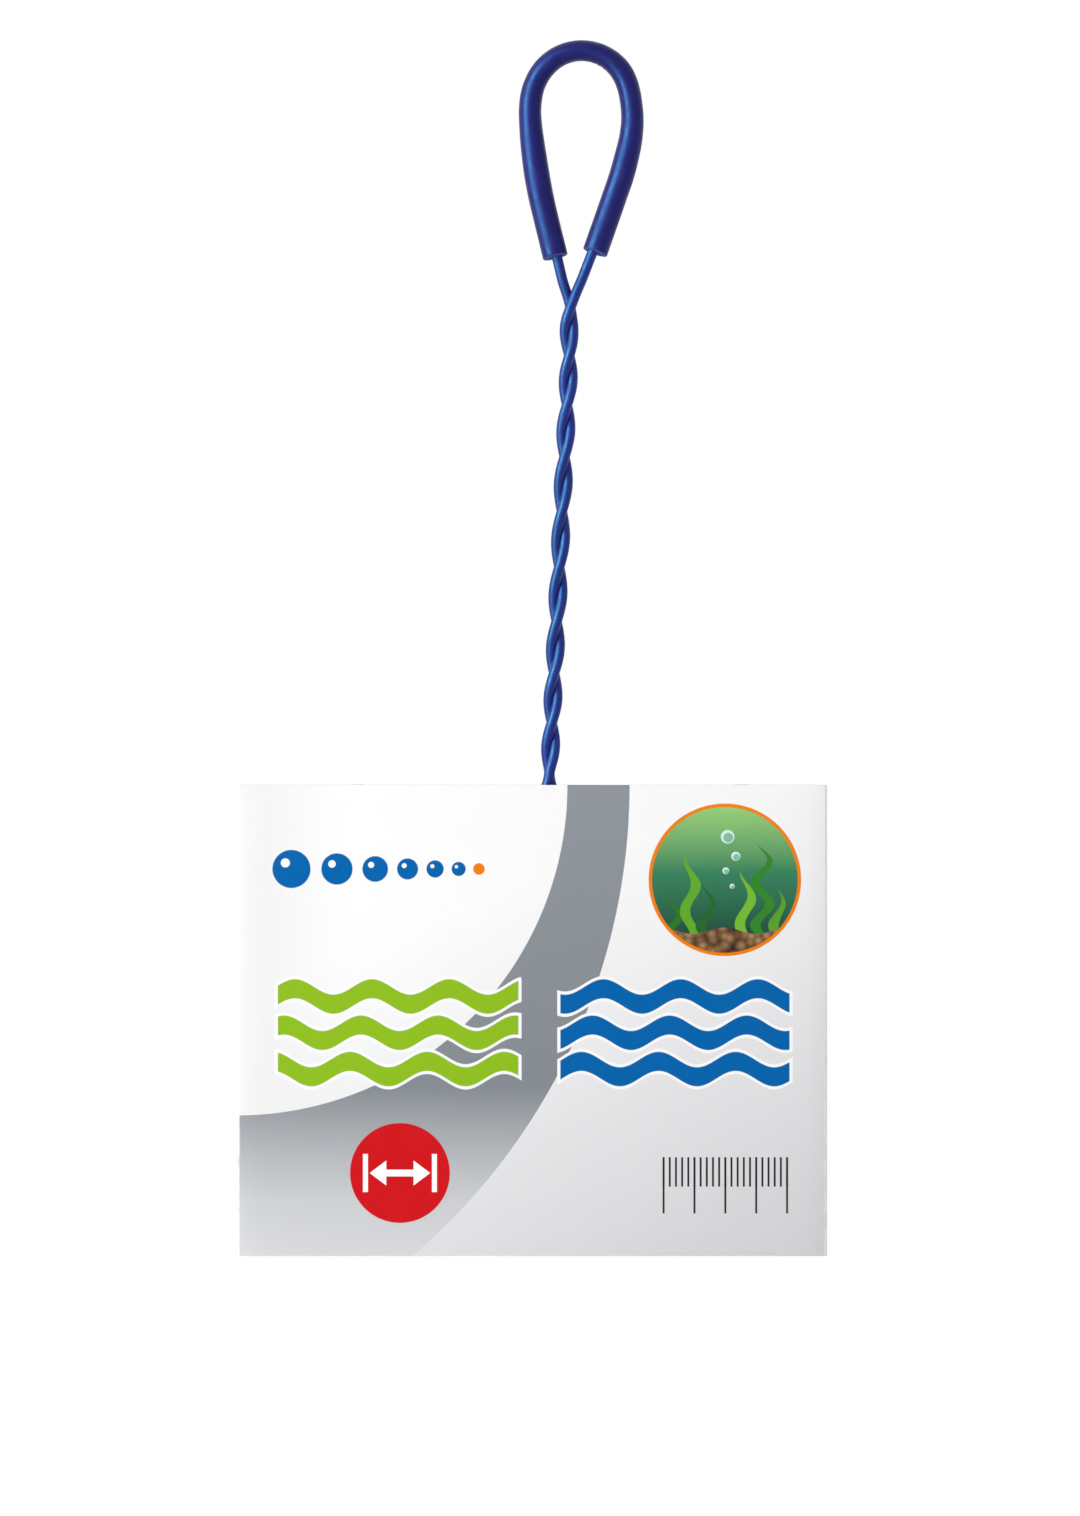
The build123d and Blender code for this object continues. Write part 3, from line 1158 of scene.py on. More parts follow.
@dataclass
class SoftGrip:
    """Vinyl tube bent into the hanging loop, flattened a little and creased where it bends most."""

    material: Material
    # Paler cut faces: stress-whitened vinyl, and a painted highlight on the cut lips.
    cut_face_whitening_and_highlight: Material
    outer_radius: float = 2.7 * MM
    bore_radius: float = 1.75 * MM
    crown_radius: float = 10.9 * MM
    crown_turn: float = math.radians(84)
    limb_radius: float = 49.0 * MM
    limb_turn: float = math.radians(22.5)
    limb_straight: float = 16.8 * MM
    handle_lean: float = math.radians(2.75)
    flattening: float = 0.07
    bulge_share: float = 0.6
    crease_depth: float = 0.05 * MM
    crease_rise: Span = (0.1, 0.3)
    crease_fall: Span = (0.5, 0.75)
    crease_rate: float = 42.0
    crown_width: float = 0.92
    limb_width: float = 1.03
    swell_start: float = 19.0 * MM
    swell_end: float = 31.0 * MM
    crown_lift: float = 0.2 * MM
    left_bows: tuple[LimbBow, ...] = (
        LimbBow(-0.25 * MM, 5.0 * MM, 18.0 * MM),
        LimbBow(0.45 * MM, 13.0 * MM, 35.0 * MM),
    )
    right_bows: tuple[LimbBow, ...] = (
        LimbBow(-0.24 * MM, 0.0 * MM, 14.0 * MM),
        LimbBow(0.3 * MM, 7.0 * MM, 25.0 * MM),
    )
    cut_tilt: float = math.radians(8)
    cut_reach: float = 4.0 * MM
    left_spare: float = 0.7 * MM
    right_spare: float = -0.8 * MM
    mouth_round: float = 0.16 * MM
    straight_step: float = 0.8 * MM
    arc_step: float = 0.4 * MM
    segments: int = 40

    def half_path(self) -> PlanarPath:
        """Gives the path from the middle of the crown down the right limb."""
        legs = (
            Leg(self.crown_radius * self.crown_turn, -self.crown_turn),
            Leg(self.limb_radius * self.limb_turn, -self.limb_turn),
            Leg(self.limb_straight),
        )
        return PlanarPath(Vector((0.0, 0.0, 0.0)), 0.0, legs)

    def build(self) -> Piece:
        """Sweeps the outside and the bore, joins them at the mouths and bends the tube out of round.

        Returns:
            The grip.
        """
        path = self.half_path()
        runs = path.runs(self.straight_step, self.arc_step)
        bore = [path.at(run) for run in runs]
        outside = [place @ self.swell(run) for place, run in zip(bore, runs)]
        swept = SweptMesh()
        bm = swept.bm
        mouths = []
        for radius, places in ((self.outer_radius, outside), (self.bore_radius, bore)):
            crown = swept.ring(round_section(radius, self.segments), places[0])
            mouths += swept.sweep(crown, places, runs)
        lips = bmesh.ops.bridge_loops(bm, edges=mouths)["faces"]
        # The lips take the paler cut face: stress-whitened vinyl, and a painted highlight on the cut lips.
        for face in lips:
            face.material_index = 1
        rims = list({edge for face in lips for edge in face.edges} & set(mouths))
        bmesh.ops.bevel(
            bm, geom=rims, offset=self.mouth_round, segments=3, profile=0.5, affect="EDGES", material=-1
        )
        bmesh.ops.mirror(bm, geom=bm.verts[:] + bm.edges[:] + bm.faces[:], axis="X", merge_dist=0.001 * MM)
        bmesh.ops.recalc_face_normals(bm, faces=bm.faces[:])
        self.press_crown(bm)
        self.cut_mouths(bm, path.at(path.length))
        self.bend_over(bm)
        bmesh.ops.transform(bm, matrix=self.stand(), verts=bm.verts[:], space=Matrix.Identity(4))
        materials = [self.material, self.cut_face_whitening_and_highlight]
        return publish("soft_grip", bm, materials, Body.NET, ["grip_tube"])

    def stand(self) -> Matrix:
        """Gives the placement of the crown's middle, with Z up the leaning handle."""
        return Matrix.Rotation(self.handle_lean, 4, "Y") @ Matrix.Translation((0.0, 0.0, self.outer_radius))

    def swell(self, run: float) -> Matrix:
        """Gives the widening of the tube in the loop's plane at a distance from the crown's middle."""
        swollen = ease(self.swell_start, self.swell_end, run)
        wide = self.crown_width + (self.limb_width - self.crown_width) * swollen
        return Matrix.Diagonal((1.0, 1.0, wide, 1.0))

    def bend_over(self, bm: BMesh) -> None:
        """Bows both limbs a little, as handling leaves them.

        Args:
            bm: Mesh of the tube, with the crown's middle at its origin.
        """
        for vert in bm.verts:
            bows = self.right_bows if vert.co.x > 0 else self.left_bows
            vert.co.x += sum(bow.shift(-vert.co.z) for bow in bows)

    def cut_mouths(self, bm: BMesh, mouth: Matrix) -> None:
        """Slants the cut ends to the front and gives the two limbs their own lengths.

        Args:
            bm: Mesh of the tube, with the crown's middle at its origin.
            mouth: Placement of the right limb's end.
        """
        for vert in bm.verts:
            side = math.copysign(1.0, vert.co.x)
            spare = self.right_spare if side > 0 else self.left_spare
            spot = mouth.inverted() @ Vector((abs(vert.co.x), vert.co.y, vert.co.z))
            near = ease(-self.cut_reach, 0.0, spot.x)
            spot.x += near * (spare + spot.y * math.tan(self.cut_tilt))
            moved = mouth @ spot
            vert.co = Vector((side * moved.x, moved.y, moved.z))

    def press_crown(self, bm: BMesh) -> None:
        """Flattens the tube over the crown and puckers its inner side to the right of the middle.

        Args:
            bm: Mesh of the tube, with the crown's middle at its origin.
        """
        centre = Vector((0.0, 0.0, -self.crown_radius))
        for vert in bm.verts:
            arm = Vector((vert.co.x, 0.0, vert.co.z)) - centre
            angle = math.atan2(arm.x, arm.z)
            if abs(angle) > self.crown_turn:
                continue
            press = self.flattening * math.cos(angle / self.crown_turn * math.pi / 2) ** 2
            offset = arm.length - self.crown_radius
            inner = ease(0.0, self.outer_radius, -offset)
            crease = ease(*self.crease_rise, angle) * (1 - ease(*self.crease_fall, angle))
            ripple = self.crease_depth * inner * crease * math.sin(angle * self.crease_rate)
            offset = offset * (1 - press) + ripple + self.crown_lift * press / self.flattening
            spot = centre + arm.normalized() * (self.crown_radius + offset)
            vert.co = Vector((spot.x, vert.co.y * (1 + self.bulge_share * press), spot.z))


@dataclass
class Hoop:
    """Centre line of the hoop's wire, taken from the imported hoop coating."""

    coat_radius: float = 1.1 * MM
    corner: float = 16.5 * MM
    rise: float = math.radians(5.5)
    neck_spread: float = 12.0 * MM

    def __post_init__(self) -> None:
        """Reads the hoop's box."""
        low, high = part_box("hoop_coating")
        self.middle = (low.x + high.x) / 2
        self.half_width = (high.x - low.x) / 2 - self.coat_radius
        self.top = high.z - self.coat_radius
        self.bottom = low.z + self.coat_radius
        self.corner_height = self.top - self.corner
        self.shoulder_end = self.half_width - self.corner * (1 + math.sin(self.rise))
        end_height = self.corner_height + self.corner * math.cos(self.rise)
        self.shoulder_height = end_height - (self.shoulder_end - self.neck_spread) * math.tan(self.rise)

    def path(self, inset: float = 0.0) -> PlanarPath:
        """Gives the path from the right shoulder clockwise to the left one.

        Args:
            inset: Distance from the wire towards the middle of the hoop.

        Returns:
            The path.
        """
        radius = self.corner - inset
        shoulder = Leg((self.shoulder_end - self.neck_spread) / math.cos(self.rise))
        upper = Leg(radius * (math.pi / 2 + self.rise), -(math.pi / 2 + self.rise))
        lower = Leg(radius * math.pi / 2, -math.pi / 2)
        side = Leg(self.corner_height - self.bottom - self.corner)
        base = Leg(2 * (self.half_width - self.corner))
        x = self.middle + self.neck_spread + inset * math.sin(self.rise)
        z = self.shoulder_height - inset * math.cos(self.rise)
        half = (shoulder, upper, side, lower)
        return PlanarPath(Vector((x, 0.0, z)), self.rise, (*half, base, *reversed(half)))

    def inset(self, x: float, z: float) -> float:
        """Gives how far inside the wire's line a point of the hoop's plane lies.

        Args:
            x: Its X.
            z: Its Z.

        Returns:
            Distance inwards, negative outside.
        """
        across = abs(x - self.middle)
        side = self.half_width - across
        shoulder = self.shoulder_height + (across - self.neck_spread) * math.tan(self.rise) - z
        level = min(z - self.bottom, shoulder * math.cos(self.rise))
        if side < self.corner and level < self.corner:
            return self.corner - math.hypot(self.corner - side, self.corner - level)
        return min(side, level)


@dataclass(frozen=True)
class StrandLeg:
    """Leg of a strand: how far from the axis it leaves its mouth, and how steeply it runs in."""

    across: float
    slope: float


@dataclass
class TwistedHandle:
    """Two coated strands that leave the grip, twist together and part to the hoop, and their steel core."""

    grip: SoftGrip
    hoop: Hoop
    coat: Material
    steel: Material
    left_leg: StrandLeg = StrandLeg(4.02 * MM, 0.28)
    right_leg: StrandLeg = StrandLeg(3.78 * MM, 0.334)
    coat_radius: float = 1.16 * MM
    core_radius: float = 0.8 * MM
    twist_radius: float = 0.98 * MM
    coat_start: float = 40.0 * MM
    mouth: float = 44.73 * MM
    leg_bend: float = 6.0 * MM
    leg_split: float = 9.0 * MM
    first_crossing: float = 56.6 * MM
    last_crossing: float = 158.85 * MM
    half_turns: int = 9
    pitch_drift: float = 1.28 * MM
    kink: float = -0.4 * MM
    kink_top: float = 51.5 * MM
    kink_foot: float = 68.0 * MM
    neck_arm: float = 5.0 * MM
    shoulder_arm: float = 9.5 * MM
    neck_steps: int = 32
    wire_limb_turn: float = math.radians(24.545)
    end_gap: float = 1.0 * MM
    step: float = 0.5 * MM
    loop_steps: Span = (1.0 * MM, 0.5 * MM)
    hoop_steps: Span = (1.0 * MM, 0.7 * MM)
    smoothing: int = 6
    coat_segments: int = 22
    core_segments: int = 12

    def place(self, across: float, depth: float, down: float) -> Vector:
        """Gives a point by its distances from the handle's axis and down from the crown's middle."""
        return self.grip.stand() @ Vector((across, depth, -down))

    def turned(self, side: Side, down: float) -> Span:
        """Gives a strand's place across and in depth within the twist.

        Args:
            side: Which strand.
            down: Distance down the axis from the crown's middle.

        Returns:
            Distance across and depth.
        """
        length = self.last_crossing - self.first_crossing
        share = (down - self.first_crossing) / length
        late = self.pitch_drift / length * math.sin(2 * math.pi * min(max(share, 0.0), 1.0))
        angle = math.pi * self.half_turns * (share + late)
        reach = -side.value * self.twist_radius
        return reach * math.sin(angle), reach * math.cos(angle)

    def upper_line(self, side: Side) -> list[Vector]:
        """Gives the middle of a strand from inside the grip to the last crossing.

        Args:
            side: Which strand.

        Returns:
            Points at an even step.
        """
        leg = self.left_leg if side is Side.LEFT else self.right_leg
        count = round((self.last_crossing - self.coat_start) / self.step)
        points = []
        for index in range(count + 1):
            down = self.coat_start + (self.last_crossing - self.coat_start) * index / count
            across, depth = self.turned(side, down)
            if down < self.first_crossing:
                bent = ease(self.first_crossing - self.leg_bend, self.first_crossing, down)
                straight = side.value * (leg.across - leg.slope * (down - self.mouth))
                across = straight + (across - straight) * bent
                split = ease(self.first_crossing - self.leg_split, self.first_crossing, down)
                depth = -side.value * self.twist_radius * split
            middle = (self.kink_top + self.kink_foot) / 2
            kinked = ease(self.kink_top, middle, down) * (1 - ease(middle, self.kink_foot, down))
            points.append(self.place(across + self.kink * kinked, depth, down))
        return points

    def neck_line(self, side: Side) -> list[Vector]:
        """Gives the middle of a strand from the last crossing to its shoulder of the hoop.

        Args:
            side: Which strand.

        Returns:
            Points along a smooth bend.
        """
        hoop = self.hoop
        start = self.place(0.0, side.value * self.twist_radius, self.last_crossing)
        below = self.place(0.0, side.value * self.twist_radius, self.last_crossing + self.neck_arm)
        end = Vector((hoop.middle + side.value * hoop.neck_spread, 0.0, hoop.shoulder_height))
        heading = Vector((side.value * math.cos(hoop.rise), 0.0, math.sin(hoop.rise)))
        return interpolate_bezier(start, below, end - heading * self.shoulder_arm, end, self.neck_steps)

    def line(self, side: Side) -> list[Vector]:
        """Gives the whole middle of a strand, with its bends eased.

        Args:
            side: Which strand.

        Returns:
            Points from inside the grip to the shoulder.
        """
        points = self.upper_line(side) + self.neck_line(side)[1:]
        for _ in range(self.smoothing):
            triples = zip(points, points[1:], points[2:])
            eased = [(before + 2 * here + after) / 4 for before, here, after in triples]
            points = [points[0], *eased, points[-1]]
        return points

    def loop_line(self, side: Side) -> list[Vector]:
        """Gives the middle of the wire inside one limb of the grip.

        Args:
            side: Which limb.

        Returns:
            Points from the wire's end at the crown to the strand's start.
        """
        grip = self.grip
        fall = grip.crown_turn + self.wire_limb_turn - math.pi / 2
        bends = (
            Leg(grip.crown_radius * grip.crown_turn, -grip.crown_turn),
            Leg(grip.limb_radius * self.wire_limb_turn, -self.wire_limb_turn),
        )
        bent = PlanarPath(Vector((0.0, 0.0, 0.0)), 0.0, bends)
        last = bent.at(bent.length).translation
        legs = (*bends, Leg((self.coat_start + last.z) / math.cos(fall)))
        half = PlanarPath(bent.start, 0.0, legs)
        runs = [self.end_gap / 2] + [run for run in half.runs(*self.loop_steps) if run > self.end_gap]
        points = [half.at(run).translation for run in runs]
        return [self.place(side.value * point.x, 0.0, -point.z) for point in points]

    def tube(self, points: Sequence[Vector], radius: float, segments: int) -> SweptMesh:
        """Sweeps a round section along a line.

        Args:
            points: Middle of the tube.
            radius: Its radius.
            segments: Corners of the section.

        Returns:
            The closed tube.
        """
        places, runs = [], []
        run = 0.0
        for before, point, after in zip([points[0], *points], points, [*points[1:], points[-1]]):
            along = (after - before).normalized()
            left = along.cross(Vector((0.0, 1.0, 0.0))).normalized()
            turn = Matrix((along, left.cross(along), left)).transposed().to_4x4()
            places.append(Matrix.Translation(point) @ turn)
            runs.append(run)
            run += (after - point).length
        swept = SweptMesh()
        swept.loft(round_section(radius, segments), places, runs)
        swept.unwrap()
        return swept

    def build(self) -> list[Piece]:
        """Builds the two strands and the core.

        Returns:
            The three pieces.
        """
        strands = []
        for side in Side:
            word = side.name.lower()
            coat = self.tube(self.line(side), self.coat_radius, self.coat_segments).bm
            node = f"{word}_strand_coating"
            strands.append(publish(f"{word}_strand", coat, [self.coat], Body.NET, [node]))
        hoop_path = self.hoop.path()
        around = [hoop_path.at(run).translation for run in hoop_path.runs(*self.hoop_steps)]
        left, right = ([*self.loop_line(side), *self.line(side)[1:]] for side in Side)
        whole = [*left, *around[-2:0:-1], *reversed(right)]
        core = self.tube(whole, self.core_radius, self.core_segments)
        strands.append(publish("steel_core", core.bm, [self.steel], Body.NET, ["frame_wire"]))
        return strands


@dataclass
class RimBinding:
    """Tape folded round the hoop, its plies sewn together as a tail, and the stitches in it."""

    hoop: Hoop
    tape: Material
    thread: Material
    rim_radius: float = 1.6 * MM
    tail_reach: float = 5.6 * MM
    tail_half: float = 0.5 * MM
    ply_gap: float = 0.14 * MM
    rim_start: float = math.radians(38)
    seam_inset: float = 3.2 * MM
    stitch_pitch: float = 3.1 * MM
    stitch_length: float = 2.5 * MM
    stitch_radius: float = 0.24 * MM
    stitch_slant: float = math.radians(4)
    stitch_depth: float = 0.9
    stitch_drift: float = 0.06 * MM
    drift_length: float = 3.0 * MM
    drift_seeds: Span = (5.0, 1.7)
    pucker: float = 0.1 * MM
    pucker_wave: float = 0.55
    pucker_ripple: float = 1.6
    ripple_length: float = 9.0 * MM
    ripple_seed: float = 0.3
    edge_ripple: float = 1.5
    edge_length: float = 5.0 * MM
    edge_seed: float = 7.1
    seam_share: float = 0.37
    end_taper: float = 2.5 * MM
    end_rim: float = 0.78
    end_tail: float = 0.5
    end_depth: float = 0.8
    steps: Span = (0.75 * MM, 0.7 * MM)
    arc_points: int = 18

    def section(self) -> list[Vector]:
        """Gives the corners of the folded tape, from the front ply's edge round the wire to the back's.

        Returns:
            Points across the path, whose inner side is to the path's right.
        """
        sweep = 2 * math.pi - 2 * self.rim_start
        turns = [self.rim_start + sweep * k / (self.arc_points - 1) for k in range(self.arc_points)]
        rim = [(math.cos(turn) * self.rim_radius, -math.sin(turn) * self.rim_radius) for turn in turns]
        reach, half = self.tail_reach, self.tail_half
        front = [
            (reach - 0.5 * MM, -self.ply_gap / 4),
            (reach, -self.ply_gap),
            (reach + 0.05 * MM, -half * 0.6),
            (reach - 0.12 * MM, -half),
            (reach - 1.0 * MM, -half * 1.08),
            (self.seam_inset + 0.6 * MM, -half),
            (self.seam_inset, -half * 0.82),
            (self.seam_inset - 0.7 * MM, -half * 1.05),
            (self.rim_radius + 0.25 * MM, -half * 1.5),
        ]
        back = [(inward, -depth) for inward, depth in reversed(front)]
        return [Vector((0.0, depth, -inward)) for inward, depth in front + rim + back]

    def build(self) -> list[Piece]:
        """Builds the tape and its stitches.

        Returns:
            The two pieces.
        """
        path = self.hoop.path()
        runs = path.runs(*self.steps)
        swept = SweptMesh()
        swept.loft(self.section(), [path.at(run) for run in runs], runs)
        self.gather(swept, path)
        swept.unwrap()
        finish, sharp = [self.tape], math.radians(70)
        tape = publish("binding_tape", swept.bm, finish, Body.NET, ["rim_binding"], sharp)
        return [tape, self.stitches()]

    def puckered(self, run: float) -> float:
        """Gives how far the tail's edge is puckered to the back at a distance along the hoop."""
        wave = math.sin(2 * math.pi * run / self.stitch_pitch)
        ripple = noise.noise(Vector((run / self.ripple_length, self.ripple_seed, 0.0)))
        return self.pucker * (self.pucker_wave * wave + self.pucker_ripple * ripple)

    def gather(self, swept: SweptMesh, path: PlanarPath) -> None:
        """Puckers the tail between the stitches and draws the tape's ends in to the wire.

        Args:
            swept: Mesh of the tape.
            path: Path of the hoop's wire.
        """
        places: dict[float, Matrix] = {}
        for vert in swept.bm.verts:
            run = vert[swept.run]
            if run not in places:
                places[run] = path.at(run)
            place = places[run]
            spot = place.inverted() @ vert.co
            inward = -spot.z
            loose = ease(self.rim_radius, self.tail_reach, inward)
            seed = Vector((run / self.edge_length, self.edge_seed, 0.0))
            ragged = self.edge_ripple * noise.noise(seed)
            spot.y += loose * self.puckered(run)
            spot.z -= loose * self.pucker * ragged
            drawn = ease(0.0, self.end_taper, min(run, path.length - run))
            end_reach = self.end_rim if inward < self.rim_radius else self.end_tail
            spot.z *= end_reach + (1 - end_reach) * drawn
            spot.y *= self.end_depth + (1 - self.end_depth) * drawn
            vert.co = place @ spot

    def stitches(self) -> Piece:
        """Builds the front and back row of stitches."""
        bm = bmesh.new()
        path = self.hoop.path(self.seam_inset)
        depth = self.tail_half * self.stitch_depth
        count = round((path.length - 2 * self.end_taper) / self.stitch_pitch)
        grain = Matrix.Diagonal((self.stitch_length / 2, self.stitch_radius, self.stitch_radius, 1.0))
        lay = Matrix.Rotation(self.stitch_slant, 4, "Y") @ grain
        for row, first in ((-1, 0.5), (1, 0.25)):
            for index in range(count):
                run = self.end_taper + (index + first) * self.stitch_pitch
                row_seed, seed = self.drift_seeds
                spot = Vector((run / self.drift_length, row * row_seed, seed))
                drift = self.stitch_drift * noise.noise(spot)
                lift = self.seam_share * self.puckered(run)
                place = path.at(run) @ Matrix.Translation((0.0, row * depth + lift, drift)) @ lay
                bmesh.ops.create_uvsphere(bm, u_segments=6, v_segments=5, radius=1.0, matrix=place)
        nodes, sharp = ["binding_stitching"], math.radians(80)
        return publish("binding_stitches", bm, [self.thread], Body.NET, nodes, sharp)


@dataclass(frozen=True)
class NetCloth:
    """Behaviour of the net in its cloth simulation, under the names of Blender's cloth settings."""

    quality: int = 10
    mass: float = 0.08
    tension_stiffness: float = 12.0
    compression_stiffness: float = 12.0
    shear_stiffness: float = 4.0
    bending_stiffness: float = 0.04
    tension_damping: float = 8.0
    air_damping: float = 2.0


@dataclass
class NetBag:
    """Knitted bag that hangs slack behind the hoop, and the tapes over its two side seams."""

    hoop: Hoop
    net: Material
    tape: Material
    cell: float = 1.8 * MM
    yarn: float = 0.48 * MM
    edge_inset: float = 4.4 * MM
    held_inset: float = 6.6 * MM
    slack: float = 0.16
    belly_reach: float = 14.0 * MM
    belly_depth: float = 2.0 * MM
    fold_depth: float = 1.6 * MM
    fold_rates: Span = (55.0, 24.0)
    front: float = -0.1 * MM
    back: float = 4.9 * MM
    cloth: NetCloth = NetCloth()
    drape_scale: float = 10.0
    drape_frames: int = 45
    drape_pull: Triple = (0.0, 2.5, -9.0)
    drape_gap: float = 0.002
    wall_gap: float = 0.001
    wall_thickness: float = 10.0 * MM
    wall_spare: Span = (2.4, 1.4)
    smoothing: float = 0.25
    probe_depth: float = 50.0 * MM
    seam_width: float = 2.0 * MM
    seam_thickness: float = 0.4 * MM
    seam_margin: float = 20.95 * MM
    seam_splay: float = 12.0 * MM
    seam_rise: float = 50.0 * MM
    seam_bow: float = 3.0 * MM
    seam_steps: int = 44

    def build(self) -> list[Piece]:
        """Builds the bag and its seam tapes.

        Returns:
            The bag and the two tapes.
        """
        sheet = self.cut_sheet()
        cut_area = sum(face.calc_area() for face in sheet.faces)
        self.drape(sheet)
        self.settle(sheet)
        surface = BVHTree.FromBMesh(sheet)
        tapes = [self.seam_tape(side, surface) for side in Side]
        self.knit(sheet)
        bag = publish("knitted_bag", sheet, [self.net], Body.NET, ["net_bag"], math.pi)
        return [bag, *tapes]

    def cut_sheet(self) -> BMesh:
        """Makes the flat grid of net inside the hoop, bellied slightly to the back.

        Returns:
            The grid.
        """
        hoop = self.hoop
        columns = round(2 * hoop.half_width / self.cell)
        rows = round((hoop.top - hoop.bottom) / self.cell)
        middle = Vector((hoop.middle, 0.0, (hoop.top + hoop.bottom) / 2))
        size = Matrix.Diagonal((columns * self.cell, rows * self.cell, 1.0, 1.0))
        place = Matrix.Translation(middle) @ Matrix.Rotation(math.pi / 2, 4, "X") @ size
        bm = bmesh.new()
        bmesh.ops.create_grid(bm, x_segments=columns, y_segments=rows, size=0.5, matrix=place)
        insets = {vert: hoop.inset(vert.co.x, vert.co.z) for vert in bm.verts}
        outside = [face for face in bm.faces if min(insets[vert] for vert in face.verts) < self.edge_inset]
        bmesh.ops.delete(bm, geom=outside, context="FACES")
        for vert in bm.verts:
            belly = ease(self.held_inset, self.held_inset + self.belly_reach, insets[vert])
            spot = Vector((vert.co.x * self.fold_rates[0], 2.0, vert.co.z * self.fold_rates[1]))
            vert.co.y = belly * (self.belly_depth + self.fold_depth * noise.noise(spot))
        return bm

    def drape(self, bm: BMesh) -> None:
        """Lets the slack net sag from its held edge between two walls, in a short cloth simulation.

        Args:
            bm: Grid of net, which takes the sagged shape.
        """
        scene = bpy.context.scene
        held_verts = [v.index for v in bm.verts if self.hoop.inset(v.co.x, v.co.z) < self.held_inset]
        bmesh.ops.scale(bm, vec=(self.drape_scale,) * 3, verts=bm.verts[:])
        cloth = add_object("bag_drape", bm)
        cloth.vertex_groups.new(name="held").add(held_verts, 1.0, "REPLACE")
        modifier = cloth.modifiers.new("drape", "CLOTH")
        modifier.collision_settings.distance_min = self.drape_gap
        modifier.collision_settings.collision_quality = 4
        modifier.settings.vertex_group_mass = "held"
        for key, value in asdict(self.cloth).items():
            setattr(modifier.settings, key, value)
        modifier.settings.shrink_min = -self.slack
        walls = [self.wall(self.front, -1), self.wall(self.back, 1)]
        gravity = scene.gravity.copy()
        scene.gravity = self.drape_pull
        for number in range(1, self.drape_frames + 1):
            scene.frame_set(number)
        evaluated = cloth.evaluated_get(bpy.context.evaluated_depsgraph_get())
        for vert, fallen in zip(bm.verts, evaluated.data.vertices):
            vert.co = fallen.co
        scene.frame_set(1)
        scene.gravity = gravity
        for item in (cloth, *walls):
            data = item.data
            bpy.data.objects.remove(item)
            bpy.data.meshes.remove(data)
        bmesh.ops.scale(bm, vec=(1 / self.drape_scale,) * 3, verts=bm.verts[:])

    def wall(self, depth: float, outward: int) -> Piece:
        """Makes a wall that the draping net can't pass.

        Args:
            depth: Depth of the wall's face.
            outward: Sign of Y on the far side of the face.

        Returns:
            Temporary object with a Collision modifier.
        """
        hoop = self.hoop
        thick = self.wall_thickness
        wide, high = self.wall_spare
        size = Vector((wide * hoop.half_width, thick, high * (hoop.top - hoop.bottom))) * self.drape_scale
        middle = Vector((hoop.middle, depth + outward * thick / 2, (hoop.top + hoop.bottom) / 2))
        bm = bmesh.new()
        place = Matrix.Translation(middle * self.drape_scale) @ Matrix.Diagonal((*size, 1.0))
        bmesh.ops.create_cube(bm, size=1.0, matrix=place)
        wall = add_object("drape_wall", bm)
        bm.free()
        wall.modifiers.new("wall", "COLLISION")
        wall.collision.thickness_outer = self.wall_gap
        return wall

    def settle(self, bm: BMesh) -> None:
        """Smooths the net and keeps it in the room between the hoop and the back of the sleeve.

        Args:
            bm: Grid of net.
        """
        loose = [v for v in bm.verts if not v.is_boundary]
        axes = {"use_axis_x": True, "use_axis_y": True, "use_axis_z": True}
        bmesh.ops.smooth_vert(bm, verts=loose, factor=self.smoothing, **axes)
        for vert in bm.verts:
            vert.co.y = min(max(vert.co.y, self.front), self.back)

    def knit(self, bm: BMesh) -> None:
        """Turns the sheet into diamond meshes of yarn.

        Args:
            bm: Grid of net.
        """
        grid = [edge for edge in bm.edges if not edge.is_boundary]
        bmesh.ops.poke(bm, faces=bm.faces[:])
        bmesh.ops.dissolve_edges(bm, edges=grid, use_verts=False, use_face_split=False)
        options = {"use_replace": True, "use_boundary": True, "use_even_offset": True}
        bmesh.ops.wireframe(bm, faces=bm.faces[:], thickness=self.yarn, **options)
        bmesh.ops.recalc_face_normals(bm, faces=bm.faces[:])

    def seam_tape(self, side: Side, surface: BVHTree) -> Piece:
        """Builds the tape over one side seam, laid on the back of the bag.

        Args:
            side: Which seam.
            surface: The sheet of net.

        Returns:
            The tape.
        """
        hoop = self.hoop
        head = hoop.half_width - self.seam_margin
        half, thick = self.seam_width / 2, self.seam_thickness / 2
        places, runs = [], []
        for index in range(self.seam_steps + 1):
            share = index / self.seam_steps
            across = head - self.seam_splay * (1 - share) + self.seam_bow * math.sin(math.pi * share)
            x = hoop.middle + side.value * across
            z = hoop.bottom + self.seam_margin + self.seam_rise * share
            depth = max(self.depth_behind(surface, x + offset, z) for offset in (-half, 0.0, half))
            places.append(Matrix.Translation((x, depth + self.yarn / 2 + thick, z)))
            runs.append(self.seam_rise * share)
        front = [(-1.0, -0.5), (-0.9, -1.0), (0.0, -1.0), (0.9, -1.0), (1.0, -0.5)]
        back = [(1.0, 0.5), (0.9, 1.0), (0.0, 1.1), (-0.9, 1.0), (-1.0, 0.5)]
        swept = SweptMesh()
        swept.loft([Vector((half * x, thick * y, 0.0)) for x, y in front + back], places, runs)
        swept.unwrap()
        word = side.name.lower()
        name, node = f"{word}_seam_tape", f"{word}_bag_seam"
        return publish(name, swept.bm, [self.tape], Body.NET, [node])

    def depth_behind(self, surface: BVHTree, x: float, z: float) -> float:
        """Gives the depth of the net's back at a point of the card's plane."""
        hit, _, _, _ = surface.ray_cast(Vector((x, self.probe_depth, z)), Vector((0.0, -1.0, 0.0)))
        return hit.y if hit else self.back


